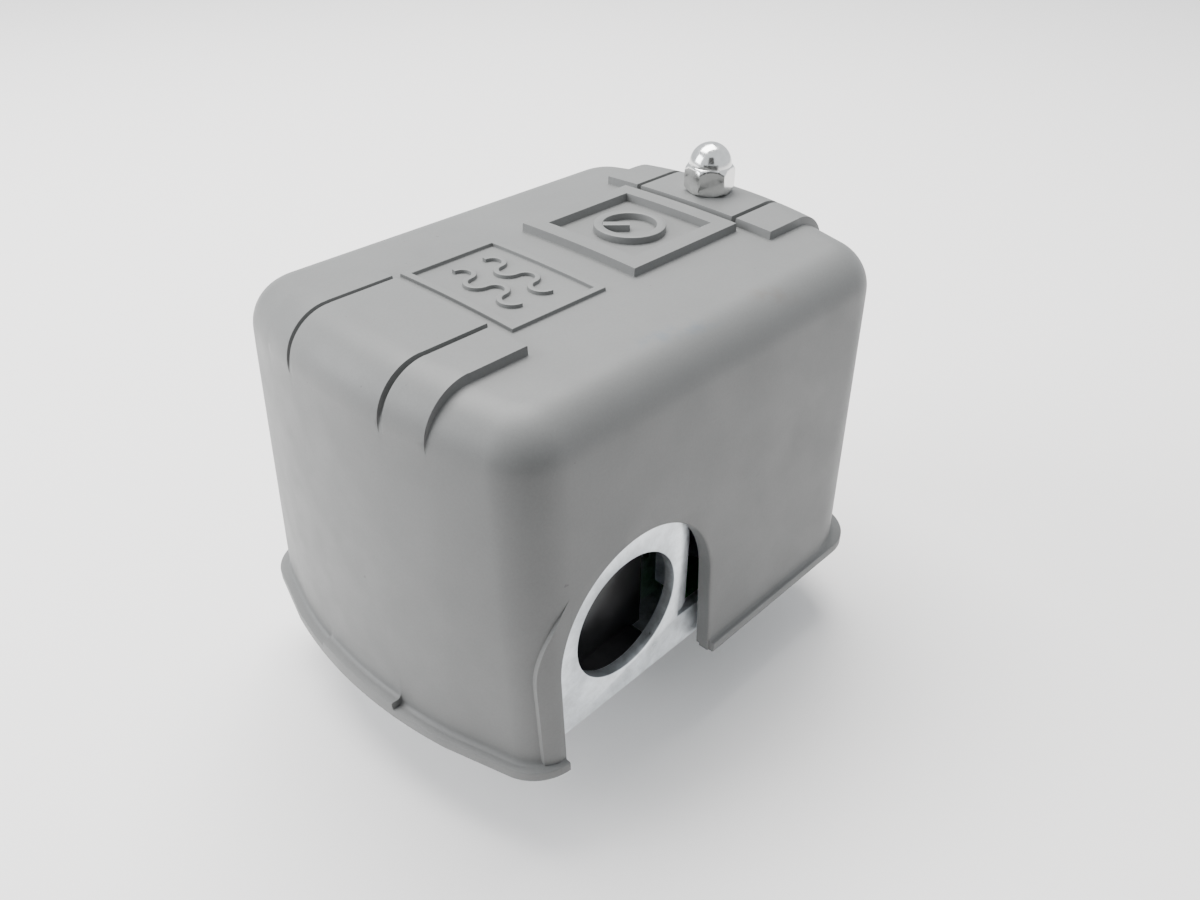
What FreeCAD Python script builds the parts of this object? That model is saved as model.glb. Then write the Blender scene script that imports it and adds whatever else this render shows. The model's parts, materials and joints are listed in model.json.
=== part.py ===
import FreeCAD, Part
import math
import os
import re

import Sketcher

# Diaphragm pressure switch for a water pump.
# Frame: +Z up, +X toward the cover nut, -X toward the contacts and the conduit holes, the two
# sides are mirror images across Y = 0.  The origin is the centre of the pressure port's mouth.

Vector = FreeCAD.Vector
Placement = FreeCAD.Placement
Rotation = FreeCAD.Rotation

SIZES = {
    # cover shell: outline half widths and ends at the rim and at the top, wall and rounding
    "rim_bottom": 15.4, "rim_thick": 1.95, "side_ledge": 1.0, "front_ledge": 1.9, "rear_ledge": 1.7,
    "rim_front_radius": 8.6, "rim_rear_radius": 9.0, "bow_radius": 90.0,
    "rear_bow_radius": 122.0, "rim_rear_bow_radius": 90.0,
    "skirt_half": 36.7, "skirt_front": 62.9, "skirt_rear": 32.8,
    "skirt_front_radius": 8.5, "skirt_rear_radius": 14.5,
    "crest": 77.0, "side_lean": 3.0, "front_lean": 2.5, "rear_lean": 0.1,
    "crest_front_radius": 9.7, "crest_rear_radius": 8.9,
    "crown_radius": 340.0, "shoulder_radius": 7.8, "cover_wall": 1.9,
    "tab_half": 9.8, "tab_rise": 1.3, "notch_start": 19.9, "notch_length": 2.6, "notch_rise": 0.6,
    # relief on the cover's top
    "relief": 1.45, "pad_half": 10.55, "band_inner": 11.4, "band_outer": 18.8,
    "front_zone_end": 40.3, "rear_zone_start": 15.0,
    "square_front": 12.3, "square_rear": 13.4, "square_half": 12.86, "square_line": 3.2,
    "panel_front": 37.9, "panel_rear": 18.9, "panel_half": 13.0, "panel_line": 1.3, "panel_rise": 0.6,
    "gauge_radius": 6.2, "gauge_line": 1.6, "wave_radius": 2.4, "wave_line": 0.9,
    # arch in each side of the cover, around the conduit hole
    "arch_radius": 17.0, "arch_border": 3.6,
    "rib_thick": 1.5, "rib_height": 24.0, "rib_reach": 3.2, "rib_front": -2.0, "rib_rear": 9.0,
    # base frame, folded steel
    "plate_level": 17.0, "steel": 2.0, "ear_gap": 0.15, "front_setback": 5.917, "rear_gap": 0.793,
    "frame_corner": 12.0, "tongue_setback": 5.9, "tongue_half": 24.0, "tongue_corner": 4.0,
    "flange_top": 24.0, "flange_rear": 14.0, "ear_top": 49.3, "ear_rear": 21.5, "fold_radius": 5.2,
    "fold_base": 25.2, "wing_gap": 0.4, "ear_corner": 5.0,
    "conduit_place": 34.15, "conduit_level": 33.1, "conduit_radius": 11.11,
    # pressure side
    "boss_height": 9.8, "boss_flats": 22.2, "port_radius": 5.6, "port_depth": 11.0, "passage_radius": 2.5,
    "housing_side": 44.0, "housing_thick": 4.0, "housing_corner": 6.0,
    "chamber_radius": 13.0, "chamber_depth": 1.4,
    "diaphragm_thick": 1.2, "ring_thick": 2.0, "ring_bore": 12.8,
    "screw_spread": 17.0, "screw_radius": 2.0, "screw_head": 3.6, "screw_head_height": 2.8,
    "piston_radius": 12.4, "piston_head": 1.15, "stem_radius": 4.0, "tip_radius": 3.0,
    "clear_margin": 6.0, "hole_gap": 0.1, "running_gap": 0.06, "touch_gap": 0.05, "side_gap": 1.0,
    # lever and its pin
    "pivot_place": 17.0, "pivot_level": 32.0, "pin_radius": 1.5, "pin_end": 1.35,
    "lever_level": 26.0, "lever_thick": 1.8, "lever_half": 19.5, "lever_front": 21.2, "lever_end": 5.3,
    "lever_cheek_front": 21.2, "lever_cheek_rear": 2.0, "cheek_rise": 3.5,
    "lever_tab_half": 8.0, "lever_tab_top": 44.0, "lever_nose_radius": 6.0,
    "lug_width": 8.0, "lug_corner": 3.0, "clip_radius": 3.0, "clip_thick": 0.7,
    # range adjustment, 1/4-20 stud, 7/16 in nut
    "stem_gap": 0.32, "range_radius": 3.0, "range_headroom": 13.0, "collar_step": 1.2,
    "collar_height": 2.5, "range_wire": 1.9, "range_clear": 3.4, "spring_headroom": 27.0,
    "range_pitch": 3.45, "range_cap_lap": 1.4, "range_cap_height": 4.8, "cap_gap": 0.45,
    "cap_sheet": 0.6, "range_cap_roof": 2.0, "range_nut_flats": 11.1, "range_nut_height": 5.6,
    "lever_clear": 1.2,
    # differential adjustment on the tall stud that also holds the cover, 8-32 thread
    "stud_gap": 0.3, "cover_stud_radius": 2.08, "stud_reach": 7.0,
    "locknut_flats": 8.7, "locknut_height": 3.2,
    "diff_wire": 1.1, "diff_clear": 1.0, "diff_spring_top": 37.9, "diff_pitch": 2.2,
    "diff_cap_lap": 0.9, "diff_cap_height": 3.6, "diff_cap_gap": 0.25, "diff_cap_roof": 1.0,
    "diff_nut_flats": 8.0, "diff_nut_height": 3.2, "diff_lever_hole": 3.0,
    "washer_radius": 4.6, "washer_bore": 2.5, "washer_thick": 0.8,
    # cover nut: 8-32 acorn nut, 5/16 in across flats
    "acorn_flats": 7.94, "acorn_hex": 4.3, "acorn_dome": 3.55, "acorn_height": 8.3, "acorn_turn": 13.8,
    "acorn_bore_depth": 6.6, "nut_seat_gap": 0.02,
    # contact block, moulded phenolic
    "block_setback": 1.5, "block_rear": 29.0, "foot_step": 1.3, "foot_top": 27.5,
    "block_top": 38.0, "block_corner": 2.5, "lane_pitch": 10.0, "barrier_thick": 1.6,
    "barrier_rise": 7.0, "barrier_length": 11.0, "post_wide": 3.4,
    "post_front": 30.0, "post_rear": 23.4, "post_rise": 3.0,
    "foot_screw_setback": 4.0, "foot_screw_inset": 2.3, "foot_screw_radius": 1.4,
    "foot_screw_head": 2.2, "foot_screw_height": 1.6,
    # terminals
    "terminal_setback": 1.5, "terminal_rear": 30.5, "lane_gap": 1.0, "terminal_thick": 1.2,
    "screw_setback": 6.0, "terminal_screw_radius": 2.05, "terminal_screw_depth": 7.5,
    "terminal_head": 3.6, "terminal_head_height": 2.3, "clamp_length": 7.4, "clamp_thick": 1.1,
    "wire_gap": 0.8, "contact_reach": 6.5, "contact_radius": 1.9, "contact_height": 1.2,
    # contact carrier
    "bar_width": 4.0, "bar_thick": 0.8, "bar_overhang": 2.4,
    "carrier_place": 26.0, "carrier_rise": 2.0, "carrier_pin": 1.2, "pin_inset": 0.4,
    "carrier_inset": 2.3, "barrel_radius": 2.3, "carrier_front": 35.0, "carrier_rear": 30.0,
    "carrier_top": 46.5, "carrier_edge": 1.2, "carrier_arm_half": 3.0, "carrier_arm_place": 15.0,
    "coil_wire": 0.6,
    "coil_mean": 2.9, "coil_pitch": 1.0, "coil_half": 5.0,
    # earth screws
    "earth_place": 10.0, "earth_gap": 0.3, "earth_radius": 2.0, "earth_head": 4.4,
    "earth_head_height": 2.4, "earth_cup": 4.8, "earth_cup_thick": 1.0, "earth_reach": 4.5,
}

# Sizes that follow from the driving ones.
DERIVED = {
    "plate_top": "plate_level + steel",
    "ring_low": "plate_level - ring_thick",
    "housing_top": "ring_low - diaphragm_thick",
    "housing_low": "housing_top - housing_thick",
    "lever_top": "lever_level + lever_thick",
    "rim_half": "skirt_half + side_ledge",
    "rim_front": "skirt_front + front_ledge",
    "rim_rear": "skirt_rear + rear_ledge",
    "crest_half": "skirt_half - side_lean",
    "crest_front": "skirt_front - front_lean",
    "crest_rear": "skirt_rear - rear_lean",
    "frame_half": ("skirt_half - side_lean * (ear_top - rim_bottom) / (crest - rim_bottom) - "
        "cover_wall - ear_gap"),
    "frame_front": "skirt_front - skirt_half * skirt_half / (2 * bow_radius) - front_setback",
    "frame_rear": ("skirt_rear - cover_wall - (frame_half - frame_corner) * (frame_half - "
        "frame_corner) / (2 * rear_bow_radius) - rear_gap"),
    "tongue_front": "skirt_front - tongue_setback",
    "cover_stud_top": "crest + stud_reach",
    "range_top": "crest - range_headroom",
    "range_spring_top": "crest - spring_headroom",
    "range_cap_bottom": "range_spring_top - range_cap_lap",
    "diff_cap_bottom": "diff_spring_top - diff_cap_lap",
    "range_mean": "range_radius + range_clear",
    "collar_radius": "range_radius + collar_step",
    "range_lever_hole": "range_radius + lever_clear",
    "range_cap_radius": "range_mean + range_wire / 2 + cap_gap + cap_sheet",
    "pin_half": "lever_half + side_gap + steel + touch_gap + clip_thick + pin_end",
    "block_half": "2 * lane_pitch + barrier_thick / 2",
    "post_inner": "block_half",
    "post_half": "post_inner + post_wide",
    "foot_half": "post_half + foot_step",
    "foot_screw_side": "post_inner + foot_screw_inset",
    "carrier_half": "block_half - carrier_inset",
    "carrier_pin_half": "post_half - pin_inset",
    "terminal_width": "lane_pitch - barrier_thick - lane_gap",
    "carrier_level": "block_top + carrier_rise",
    "barrier_top": "block_top + barrier_rise",
    "post_top": "carrier_level + post_rise",
    "block_front": "frame_front - block_setback",
    "lug_top": "pivot_level + lug_width / 2",
    "lever_cheek_top": "pivot_level + cheek_rise",
    "terminal_front": "block_front - terminal_setback",
    "terminal_screw_place": "block_front - screw_setback",
    "foot_screw_place": "block_front - foot_screw_setback",
    "barrier_rear": "block_front - barrier_length",
    "contact_place": "carrier_place + contact_reach",
    "lever_rear": "cover_stud_place + lever_end",
    "diff_cap_radius": "diff_mean + diff_wire / 2 + diff_cap_gap + cap_sheet",
    "diff_mean": "cover_stud_radius + diff_clear",
    "cover_stud_place": "range_place + range_cap_radius + stud_gap + diff_cap_radius",
    "range_place": "stem_radius + stem_gap + collar_radius",
    "wing_inner": "pin_half + wing_gap",
    "earth_side": "frame_half - steel - earth_cup - earth_gap",
}

doc = FreeCAD.newDocument("pressure_switch")
sheet = doc.addObject("Spreadsheet::Sheet", "Dims")
for row, (alias, size) in enumerate(SIZES.items(), start=1):
    sheet.set(f"A{row}", alias)
    sheet.set(f"B{row}", str(size))
    sheet.setAlias(f"B{row}", alias)
doc.recompute()

WORD = re.compile(r"[a-z_]+")


def formula(text):
    """Spells a formula out in cells of the sheet."""
    def swap(word):
        name = word.group(0)
        return f"({formula(DERIVED[name])})" if name in DERIVED else "Dims." + name

    return WORD.sub(swap, text)


def bind(item, prop, text):
    """Ties a property to the sheet; text is a formula of the named sizes."""
    item.setExpression(prop, formula(text))


probe = doc.addObject("Part::Circle", "probe")


def size(text):
    """The present value of a formula, which is positive."""
    bind(probe, "Radius", text)
    doc.recompute([probe])
    return probe.Radius.Value


def put(item, x="0", y="0", z="0"):
    bind(item, "Placement.Base.x", x)
    bind(item, "Placement.Base.y", y)
    bind(item, "Placement.Base.z", z)
    return item


def box(name, length, width, height, x, z, y=None):
    """A block; without y it is centred on the symmetry plane."""
    item = doc.addObject("Part::Box", name)
    bind(item, "Length", length)
    bind(item, "Width", width)
    bind(item, "Height", height)
    return put(item, x, y if y is not None else f"-({width}) / 2", z)


def span(name, x_low, x_high, y_low, y_high, z_low, z_high):
    """A block between six formulas."""
    return box(name, f"({x_high}) - ({x_low})", f"({y_high}) - ({y_low})",
               f"({z_high}) - ({z_low})", x_low, z_low, y_low)


AXES = {"x": Rotation(Vector(0, 1, 0), 90), "y": Rotation(Vector(1, 0, 0), -90), "z": Rotation()}


def cylinder(name, radius, height, x="0", y="0", z="0", axis="z"):
    item = doc.addObject("Part::Cylinder", name)
    item.Placement = Placement(Vector(), AXES[axis])
    bind(item, "Radius", radius)
    bind(item, "Height", height)
    return put(item, x, y, z)


def ball(name, radius, x="0", y="0", z="0"):
    item = doc.addObject("Part::Sphere", name)
    bind(item, "Radius", radius)
    return put(item, x, y, z)


def cone(name, radius_low, radius_high, height, x="0", y="0", z="0"):
    item = doc.addObject("Part::Cone", name)
    bind(item, "Radius1", radius_low)
    bind(item, "Radius2", radius_high)
    bind(item, "Height", height)
    return put(item, x, y, z)


def hexagon(name, flats, height, x="0", y="0", z="0", turn="0"):
    """A hexagonal prism, sized by the distance across its flats."""
    item = doc.addObject("Part::Prism", name)
    item.Polygon = 6
    bind(item, "Circumradius", f"({flats}) / {math.sqrt(3)}")
    bind(item, "Height", height)
    item.Placement = Placement(Vector(), Rotation(Vector(0, 0, 1), 0))
    bind(item, "Placement.Rotation.Angle", turn)
    return put(item, x, y, z)


def join(name, *items):
    item = doc.addObject("Part::MultiFuse", name)
    item.Shapes = list(items)
    item.Refine = True
    return item


def cut(name, base, *tools):
    item = doc.addObject("Part::Cut", name)
    item.Base = base
    item.Tool = tools[0] if len(tools) == 1 else join(name + "_tools", *tools)
    item.Refine = True
    return item


def common(name, base, tool):
    item = doc.addObject("Part::MultiCommon", name)
    item.Shapes = [base, tool]
    return item


def rounded(name, item, radius, test):
    """Rounds the edges of item whose middle passes the test."""
    doc.recompute()
    fillet = doc.addObject("Part::Fillet", name)
    fillet.Base = item
    edges = []
    for number, edge in enumerate(item.Shape.Edges, start=1):
        middle = edge.valueAt((edge.FirstParameter + edge.LastParameter) / 2)
        if test(edge, middle):
            edges.append((number, size(radius), size(radius)))
    fillet.Edges = edges
    return fillet


def upright(edge):
    """True for a straight edge along Z."""
    first, last = edge.valueAt(edge.FirstParameter), edge.valueAt(edge.LastParameter)
    return abs(first.x - last.x) < 1e-6 and abs(first.y - last.y) < 1e-6


NODES = []


def node(item, label):
    """Names a finished sub-part."""
    item.Label = label
    NODES.append(item)
    return item


# ---------------------------------------------------------------- cover shell

def plane_of(body, role):
    return next(feature for feature in body.Origin.OriginFeatures if feature.Role == role)


def outline(body, name, level, rear, front, half, rear_radius, front_radius, bow, rear_bow):
    """Closed outline on a level plane: straight sides, rounded corners, bowed front and rear.

    The arguments are formulas; the starting shape is worked out from their present values, and the
    constraints then hold it to the sheet.
    """
    w = size(half)

    def end(reach, corner, bowing):
        """Bow centre, corner centre, bow's half angle, corner radius and bow radius of one end."""
        radius, big = size(corner), size(bowing)
        bow_centre = size(reach) - big
        corner_y = w - radius
        corner_x = bow_centre + math.sqrt((big - radius) ** 2 - corner_y ** 2)
        return bow_centre, corner_x, corner_y, math.atan2(corner_y, corner_x - bow_centre), radius, big

    rear_bow_x, rear_x, rear_y, rear_lean, rr, big_rear = end(rear, rear_radius, rear_bow)
    front_bow_x, front_x, front_y, lean, rf, rb = end(front, front_radius, bow)
    sketch = body.newObject("Sketcher::SketchObject", name)
    sketch.AttachmentSupport = [(plane_of(body, "XY_Plane"), "")]
    sketch.MapMode = "FlatFace"
    bind(sketch, "AttachmentOffset.Base.z", level)

    def line(x1, y1, x2, y2):
        return sketch.addGeometry(Part.LineSegment(Vector(x1, y1, 0), Vector(x2, y2, 0)), False)

    def arc(x, y, radius, start, end):
        circle = Part.Circle(Vector(x, y, 0), Vector(0, 0, 1), radius)
        return sketch.addGeometry(Part.ArcOfCircle(circle, start, end), False)

    quarter = math.pi / 2
    parts = [
        arc(rear_bow_x, 0, big_rear, -rear_lean, rear_lean),
        arc(rear_x, rear_y, rr, rear_lean, quarter),
        line(rear_x, w, -front_x, w),
        arc(-front_x, front_y, rf, quarter, math.pi - lean),
        arc(-front_bow_x, 0, rb, math.pi - lean, math.pi + lean),
        arc(-front_x, -front_y, rf, math.pi + lean, 3 * quarter),
        line(-front_x, -w, rear_x, -w),
        arc(rear_x, -rear_y, rr, 3 * quarter, 4 * quarter - rear_lean),
    ]
    for place, part in enumerate(parts):
        follower = parts[(place + 1) % len(parts)]
        sketch.addConstraint(Sketcher.Constraint("Tangent", part, 2, follower, 1))
    sketch.addConstraint(Sketcher.Constraint("Horizontal", parts[2]))
    sketch.addConstraint(Sketcher.Constraint("Horizontal", parts[6]))
    sketch.addConstraint(Sketcher.Constraint("Equal", parts[1], parts[7]))
    sketch.addConstraint(Sketcher.Constraint("Equal", parts[3], parts[5]))
    sketch.addConstraint(Sketcher.Constraint("PointOnObject", parts[0], 3, -1))
    sketch.addConstraint(Sketcher.Constraint("PointOnObject", parts[4], 3, -1))
    for label, part, value, text in (("rear_radius", parts[1], rr, rear_radius),
                                     ("front_radius", parts[3], rf, front_radius),
                                     ("rear_bow", parts[0], big_rear, rear_bow),
                                     ("bow", parts[4], rb, bow)):
        number = sketch.addConstraint(Sketcher.Constraint("Radius", part, value))
        sketch.renameConstraint(number, label)
        bind(sketch, "Constraints." + label, text)
    origin = (-1, 1)
    for label, kind, first, last, value, text in (
            ("left", "DistanceY", origin, (parts[2], 1), w, half),
            ("right", "DistanceY", (parts[6], 1), origin, w, half),
            ("rear_centre", "DistanceX", (parts[0], 3), origin, -rear_bow_x, f"({rear_bow}) - ({rear})"),
            ("front_centre", "DistanceX", origin, (parts[4], 3), -front_bow_x, f"({bow}) - ({front})")):
        number = sketch.addConstraint(Sketcher.Constraint(kind, *first, *last, value))
        sketch.renameConstraint(number, label)
        bind(sketch, "Constraints." + label, text)
    return sketch


def crown_profile(body, name, radius):
    """Everything above the crowned top: an arc across the width, closed by three lines."""
    sketch = body.newObject("Sketcher::SketchObject", name)
    sketch.AttachmentSupport = [(plane_of(body, "YZ_Plane"), "")]
    sketch.MapMode = "FlatFace"
    reach = size("rim_half + clear_margin")
    rise = size("crest + clear_margin")
    r = size(radius)
    centre = size("crest") - size("crown_radius")
    half_angle = math.asin(reach / r)
    edge = centre + r * math.cos(half_angle)
    circle = Part.Circle(Vector(0, centre, 0), Vector(0, 0, 1), r)
    quarter = math.pi / 2
    arc = sketch.addGeometry(Part.ArcOfCircle(circle, quarter - half_angle, quarter + half_angle), False)
    corners = [(-reach, edge), (-reach, rise), (reach, rise), (reach, edge)]
    sides = []
    for start, end in zip(corners, corners[1:]):
        segment = Part.LineSegment(Vector(*start, 0), Vector(*end, 0))
        sides.append(sketch.addGeometry(segment, False))
    chain = [arc] + sides
    for place, part in enumerate(chain):
        follower = chain[(place + 1) % len(chain)]
        sketch.addConstraint(Sketcher.Constraint("Coincident", part, 2, follower, 1))
    sketch.addConstraint(Sketcher.Constraint("Vertical", sides[0]))
    sketch.addConstraint(Sketcher.Constraint("Horizontal", sides[1]))
    sketch.addConstraint(Sketcher.Constraint("Vertical", sides[2]))
    sketch.addConstraint(Sketcher.Constraint("PointOnObject", arc, 3, -2))
    for label, constraint, text in (
            ("crown", Sketcher.Constraint("Radius", arc, r), radius),
            ("centre", Sketcher.Constraint("DistanceY", arc, 3, -1, 1, -centre), "crown_radius - crest"),
            ("left", Sketcher.Constraint("DistanceX", sides[1], 1, -1, 1, reach), "rim_half + clear_margin"),
            ("right", Sketcher.Constraint("DistanceX", -1, 1, sides[1], 2, reach), "rim_half + clear_margin"),
            ("lid", Sketcher.Constraint("DistanceY", -1, 1, sides[1], 1, rise), "crest + clear_margin")):
        number = sketch.addConstraint(constraint)
        sketch.renameConstraint(number, label)
        bind(sketch, "Constraints." + label, text)
    return sketch


def shell_body(name, inset, crown, shoulder):
    """The drafted, crowned and rounded body; inset is how far it lies inside the outer skin."""
    body = doc.addObject("PartDesign::Body", name)

    def section(level, part):
        return outline(body, f"{name}_{part}", level,
                       f"{part}_rear - {inset}", f"{part}_front - {inset}", f"{part}_half - {inset}",
                       f"{part}_rear_radius - {inset}", f"{part}_front_radius - {inset}",
                       f"bow_radius - {inset}", f"rear_bow_radius - {inset}")

    low = section("rim_bottom", "skirt")
    high = section("crest", "crest")
    loft = body.newObject("PartDesign::AdditiveLoft", name + "_loft")
    loft.Profile = (low, [""])
    loft.Sections = [(high, [""])]
    loft.Ruled = True
    doc.recompute()
    full = loft.Shape.Volume
    profile = crown_profile(body, name + "_crown", crown)
    pocket = body.newObject("PartDesign::Pocket", name + "_top")
    pocket.Profile = (profile, [""])
    pocket.Type = 1
    pocket.Midplane = True
    doc.recompute()
    if pocket.Shape.Volume > full - 1:
        raise RuntimeError("the crown cuts nothing")
    top = max(pocket.Shape.Faces, key=lambda face: face.CenterOfMass.z)
    names = []
    for number, edge in enumerate(pocket.Shape.Edges, start=1):
        if any(edge.isSame(other) for other in top.Edges):
            names.append(f"Edge{number}")
    fillet = body.newObject("PartDesign::Fillet", name + "_shoulder")
    fillet.Base = (pocket, names)
    bind(fillet, "Radius", shoulder)
    body.Tip = fillet
    doc.recompute()
    return body


def flat_body(name, height):
    """A straight slab with the rim's outline."""
    body = doc.addObject("PartDesign::Body", name)
    sketch = outline(body, name + "_outline", "rim_bottom", "rim_rear", "rim_front", "rim_half",
                     "rim_rear_radius", "rim_front_radius", "bow_radius", "rim_rear_bow_radius")
    pad = body.newObject("PartDesign::Pad", name + "_pad")
    pad.Profile = (sketch, [""])
    bind(pad, "Length", height)
    body.Tip = pad
    doc.recompute()
    return body


def arch(name, margin):
    """The arch around the conduit hole, right through both sides, grown by margin."""
    reach = "2 * rim_half + 10"
    dome = cylinder(name + "_dome", f"arch_radius + {margin}", reach, "-conduit_place",
                    "-(rim_half + 5)", "conduit_level", axis="y")
    foot = box(name + "_foot", f"2 * (arch_radius + {margin})", reach, "conduit_level - rim_bottom + 5",
               f"-conduit_place - arch_radius - {margin}", "rim_bottom - 5")
    return join(name, dome, foot)


def side_slab():
    """The flat drafted sides without their corners; the arch borders lie on it."""
    body = doc.addObject("PartDesign::Body", "side_slab")
    sketch = body.newObject("Sketcher::SketchObject", "side_slab_section")
    sketch.AttachmentSupport = [(plane_of(body, "YZ_Plane"), "")]
    sketch.MapMode = "FlatFace"
    low, high = size("rim_bottom"), size("crest")
    wide, narrow = size("skirt_half"), size("crest_half")
    corners = [(-wide, low), (wide, low), (narrow, high), (-narrow, high)]
    sides = []
    for start, end in zip(corners, corners[1:] + corners[:1]):
        sides.append(sketch.addGeometry(Part.LineSegment(Vector(*start, 0), Vector(*end, 0)), False))
    for place, part in enumerate(sides):
        sketch.addConstraint(Sketcher.Constraint("Coincident", part, 2, sides[(place + 1) % 4], 1))
    sketch.addConstraint(Sketcher.Constraint("Horizontal", sides[0]))
    sketch.addConstraint(Sketcher.Constraint("Horizontal", sides[2]))
    for label, constraint, text in (
            ("low", Sketcher.Constraint("DistanceY", -1, 1, sides[0], 1, low), "rim_bottom"),
            ("high", Sketcher.Constraint("DistanceY", -1, 1, sides[2], 1, high), "crest"),
            ("low_left", Sketcher.Constraint("DistanceX", sides[0], 1, -1, 1, wide), "skirt_half"),
            ("low_right", Sketcher.Constraint("DistanceX", -1, 1, sides[0], 2, wide), "skirt_half"),
            ("high_right", Sketcher.Constraint("DistanceX", -1, 1, sides[2], 1, narrow), "crest_half"),
            ("high_left", Sketcher.Constraint("DistanceX", sides[2], 2, -1, 1, narrow), "crest_half")):
        number = sketch.addConstraint(constraint)
        sketch.renameConstraint(number, label)
        bind(sketch, "Constraints." + label, text)
    pad = body.newObject("PartDesign::Pad", "side_slab_pad")
    pad.Profile = (sketch, [""])
    pad.Midplane = True
    bind(pad, "Length", "2 * (conduit_place + arch_radius + arch_border + 2)")
    body.Tip = pad
    return body


def frame_of(name, front, rear, half, line, rise):
    """A raised rectangular frame on the cover's top."""
    top = f"crest + {rise}"
    low = "crest - shoulder_radius / 2"
    outer = span(name + "_outer", front, rear, f"-{half}", half, low, top)
    inner = span(name + "_inner", f"{front} + {line}", f"{rear} - {line}", f"-{half} + {line}",
                 f"{half} - {line}", low, f"{top} + 1")
    return cut(name, outer, inner)


def relief_zones():
    """The raised fields of the top, tall enough to reach above the shell everywhere."""
    low, high = "rim_bottom + rim_thick", "crest + 2 * relief"
    fields = []
    for part, x_low, x_high in (("front", "-rim_front - 5", "-front_zone_end"),
                                ("rear", "rear_zone_start", "rim_rear + 5")):
        fields.append(span(f"{part}_pad", x_low, x_high, "-pad_half", "pad_half", low, high))
        fields.append(span(f"{part}_band_left", x_low, x_high, "band_inner", "band_outer", low, high))
        fields.append(span(f"{part}_band_right", x_low, x_high, "-band_outer", "-band_inner", low, high))
    fields.append(frame_of("square", "-square_front", "square_rear", "square_half", "square_line",
                           "2 * relief"))
    return join("relief_zones", *fields)


def gauge_mark():
    """A plain pressure-gauge sign inside the square frame: a ring with a pointer."""
    centre = "(square_rear - square_front) / 2"
    low, rise = "crest - 1", "1 + relief"
    ring = cut("gauge_ring", cylinder("gauge_outer", "gauge_radius", rise, centre, "0", low),
               cylinder("gauge_inner", "gauge_radius - gauge_line", f"{rise} + 1", centre, "0", low))
    pointer = doc.addObject("Part::Box", "gauge_pointer")
    pointer.Placement = Placement(Vector(), Rotation(Vector(0, 0, 1), 135))
    bind(pointer, "Length", "gauge_radius - gauge_line / 2")
    bind(pointer, "Width", "gauge_line")
    bind(pointer, "Height", rise)
    put(pointer, f"{centre} + gauge_line / 3", "gauge_line / 3", low)
    return join("gauge_mark", ring, pointer)


def wave_mark():
    """Two rows of water waves inside the rectangular frame, each a run of half rings."""
    rings = []
    low, rise = "crest - 1", "1 + panel_rise"
    middle = "-(panel_front + panel_rear) / 2"
    for line, shift in (("near", "- wave_radius * 1.3"), ("far", "+ wave_radius * 1.3")):
        for count in range(-2, 2):
            side = "+" if count % 2 else "-"
            place = f"{2 * count + 1} * (wave_radius - wave_line / 2)"
            name = f"wave_{line}_{count + 2}"
            x = f"{middle} {shift}"
            ring = cut(name + "_ring", cylinder(name + "_outer", "wave_radius", rise, x, place, low),
                       cylinder(name + "_inner", "wave_radius - wave_line", f"{rise} + 1", x, place, low))
            edge = f"{x}" if side == "+" else f"{x} - wave_radius"
            half = box(name + "_half", "wave_radius", "2 * wave_radius", rise, edge, low,
                       f"{place} - wave_radius")
            rings.append(common(name, ring, half))
    return join("wave_mark", *rings)


def make_cover():
    outer = shell_body("cover_outer", "0 * cover_wall", "crown_radius", "shoulder_radius")
    inner = shell_body("cover_inner", "cover_wall", "crown_radius - cover_wall",
                       "shoulder_radius - cover_wall")
    rim = flat_body("cover_rim", "rim_thick")
    tab = common("cover_tab", flat_body("cover_tab_slab", "rim_thick + tab_rise"),
                 span("cover_tab_span", "-rim_front - 1", "-rim_front + 8", "-tab_half", "tab_half",
                      "rim_bottom", "rim_bottom + rim_thick + tab_rise"))
    lifted = doc.addObject("Part::Compound", "cover_lifted")
    lifted.Links = [outer]
    put(lifted, z="relief")
    relief = common("cover_relief", lifted, relief_zones())
    panel_lift = doc.addObject("Part::Compound", "cover_panel_lift")
    panel_lift.Links = [outer]
    put(panel_lift, z="panel_rise")
    panel = frame_of("panel", "-panel_front", "-panel_rear", "panel_half", "panel_line", "2 * panel_rise")
    panel_relief = common("cover_panel", panel_lift, panel)
    border = common("cover_border", side_slab(), arch("border_arch", "arch_border"))
    ribs = []
    for name, x in (("front", "rib_front"), ("rear", "rib_rear")):
        wall = "(skirt_half - cover_wall)"
        for side, low, high in (("left", f"{wall} - rib_reach", wall),
                                ("right", f"-{wall}", f"-{wall} + rib_reach")):
            ribs.append(span(f"rib_{name}_{side}", x, f"{x} + rib_thick", low, high,
                             "flange_top + touch_gap", "flange_top + rib_height"))
    solid = join("cover_solid", outer, rim, tab, relief, panel_relief, border, gauge_mark(), wave_mark())
    hollow = cut("cover_hollow", solid, inner)
    ribbed = join("cover_ribbed", hollow, common("cover_ribs", join("ribs", *ribs), outer))
    notch = box("rim_notch", "notch_length", "2 * rim_half + 4", "rim_thick + notch_rise + 1",
                "notch_start", "rim_bottom - 1")
    stud_hole = cylinder("cover_stud_hole", "cover_stud_radius + 3 * hole_gap", "10",
                         "cover_stud_place", "0", "crest - 5")
    return node(cut("cover", ribbed, arch("cover_arch", "0"), notch, stud_hole), "cover")


# ---------------------------------------------------------------- fasteners and springs

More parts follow.
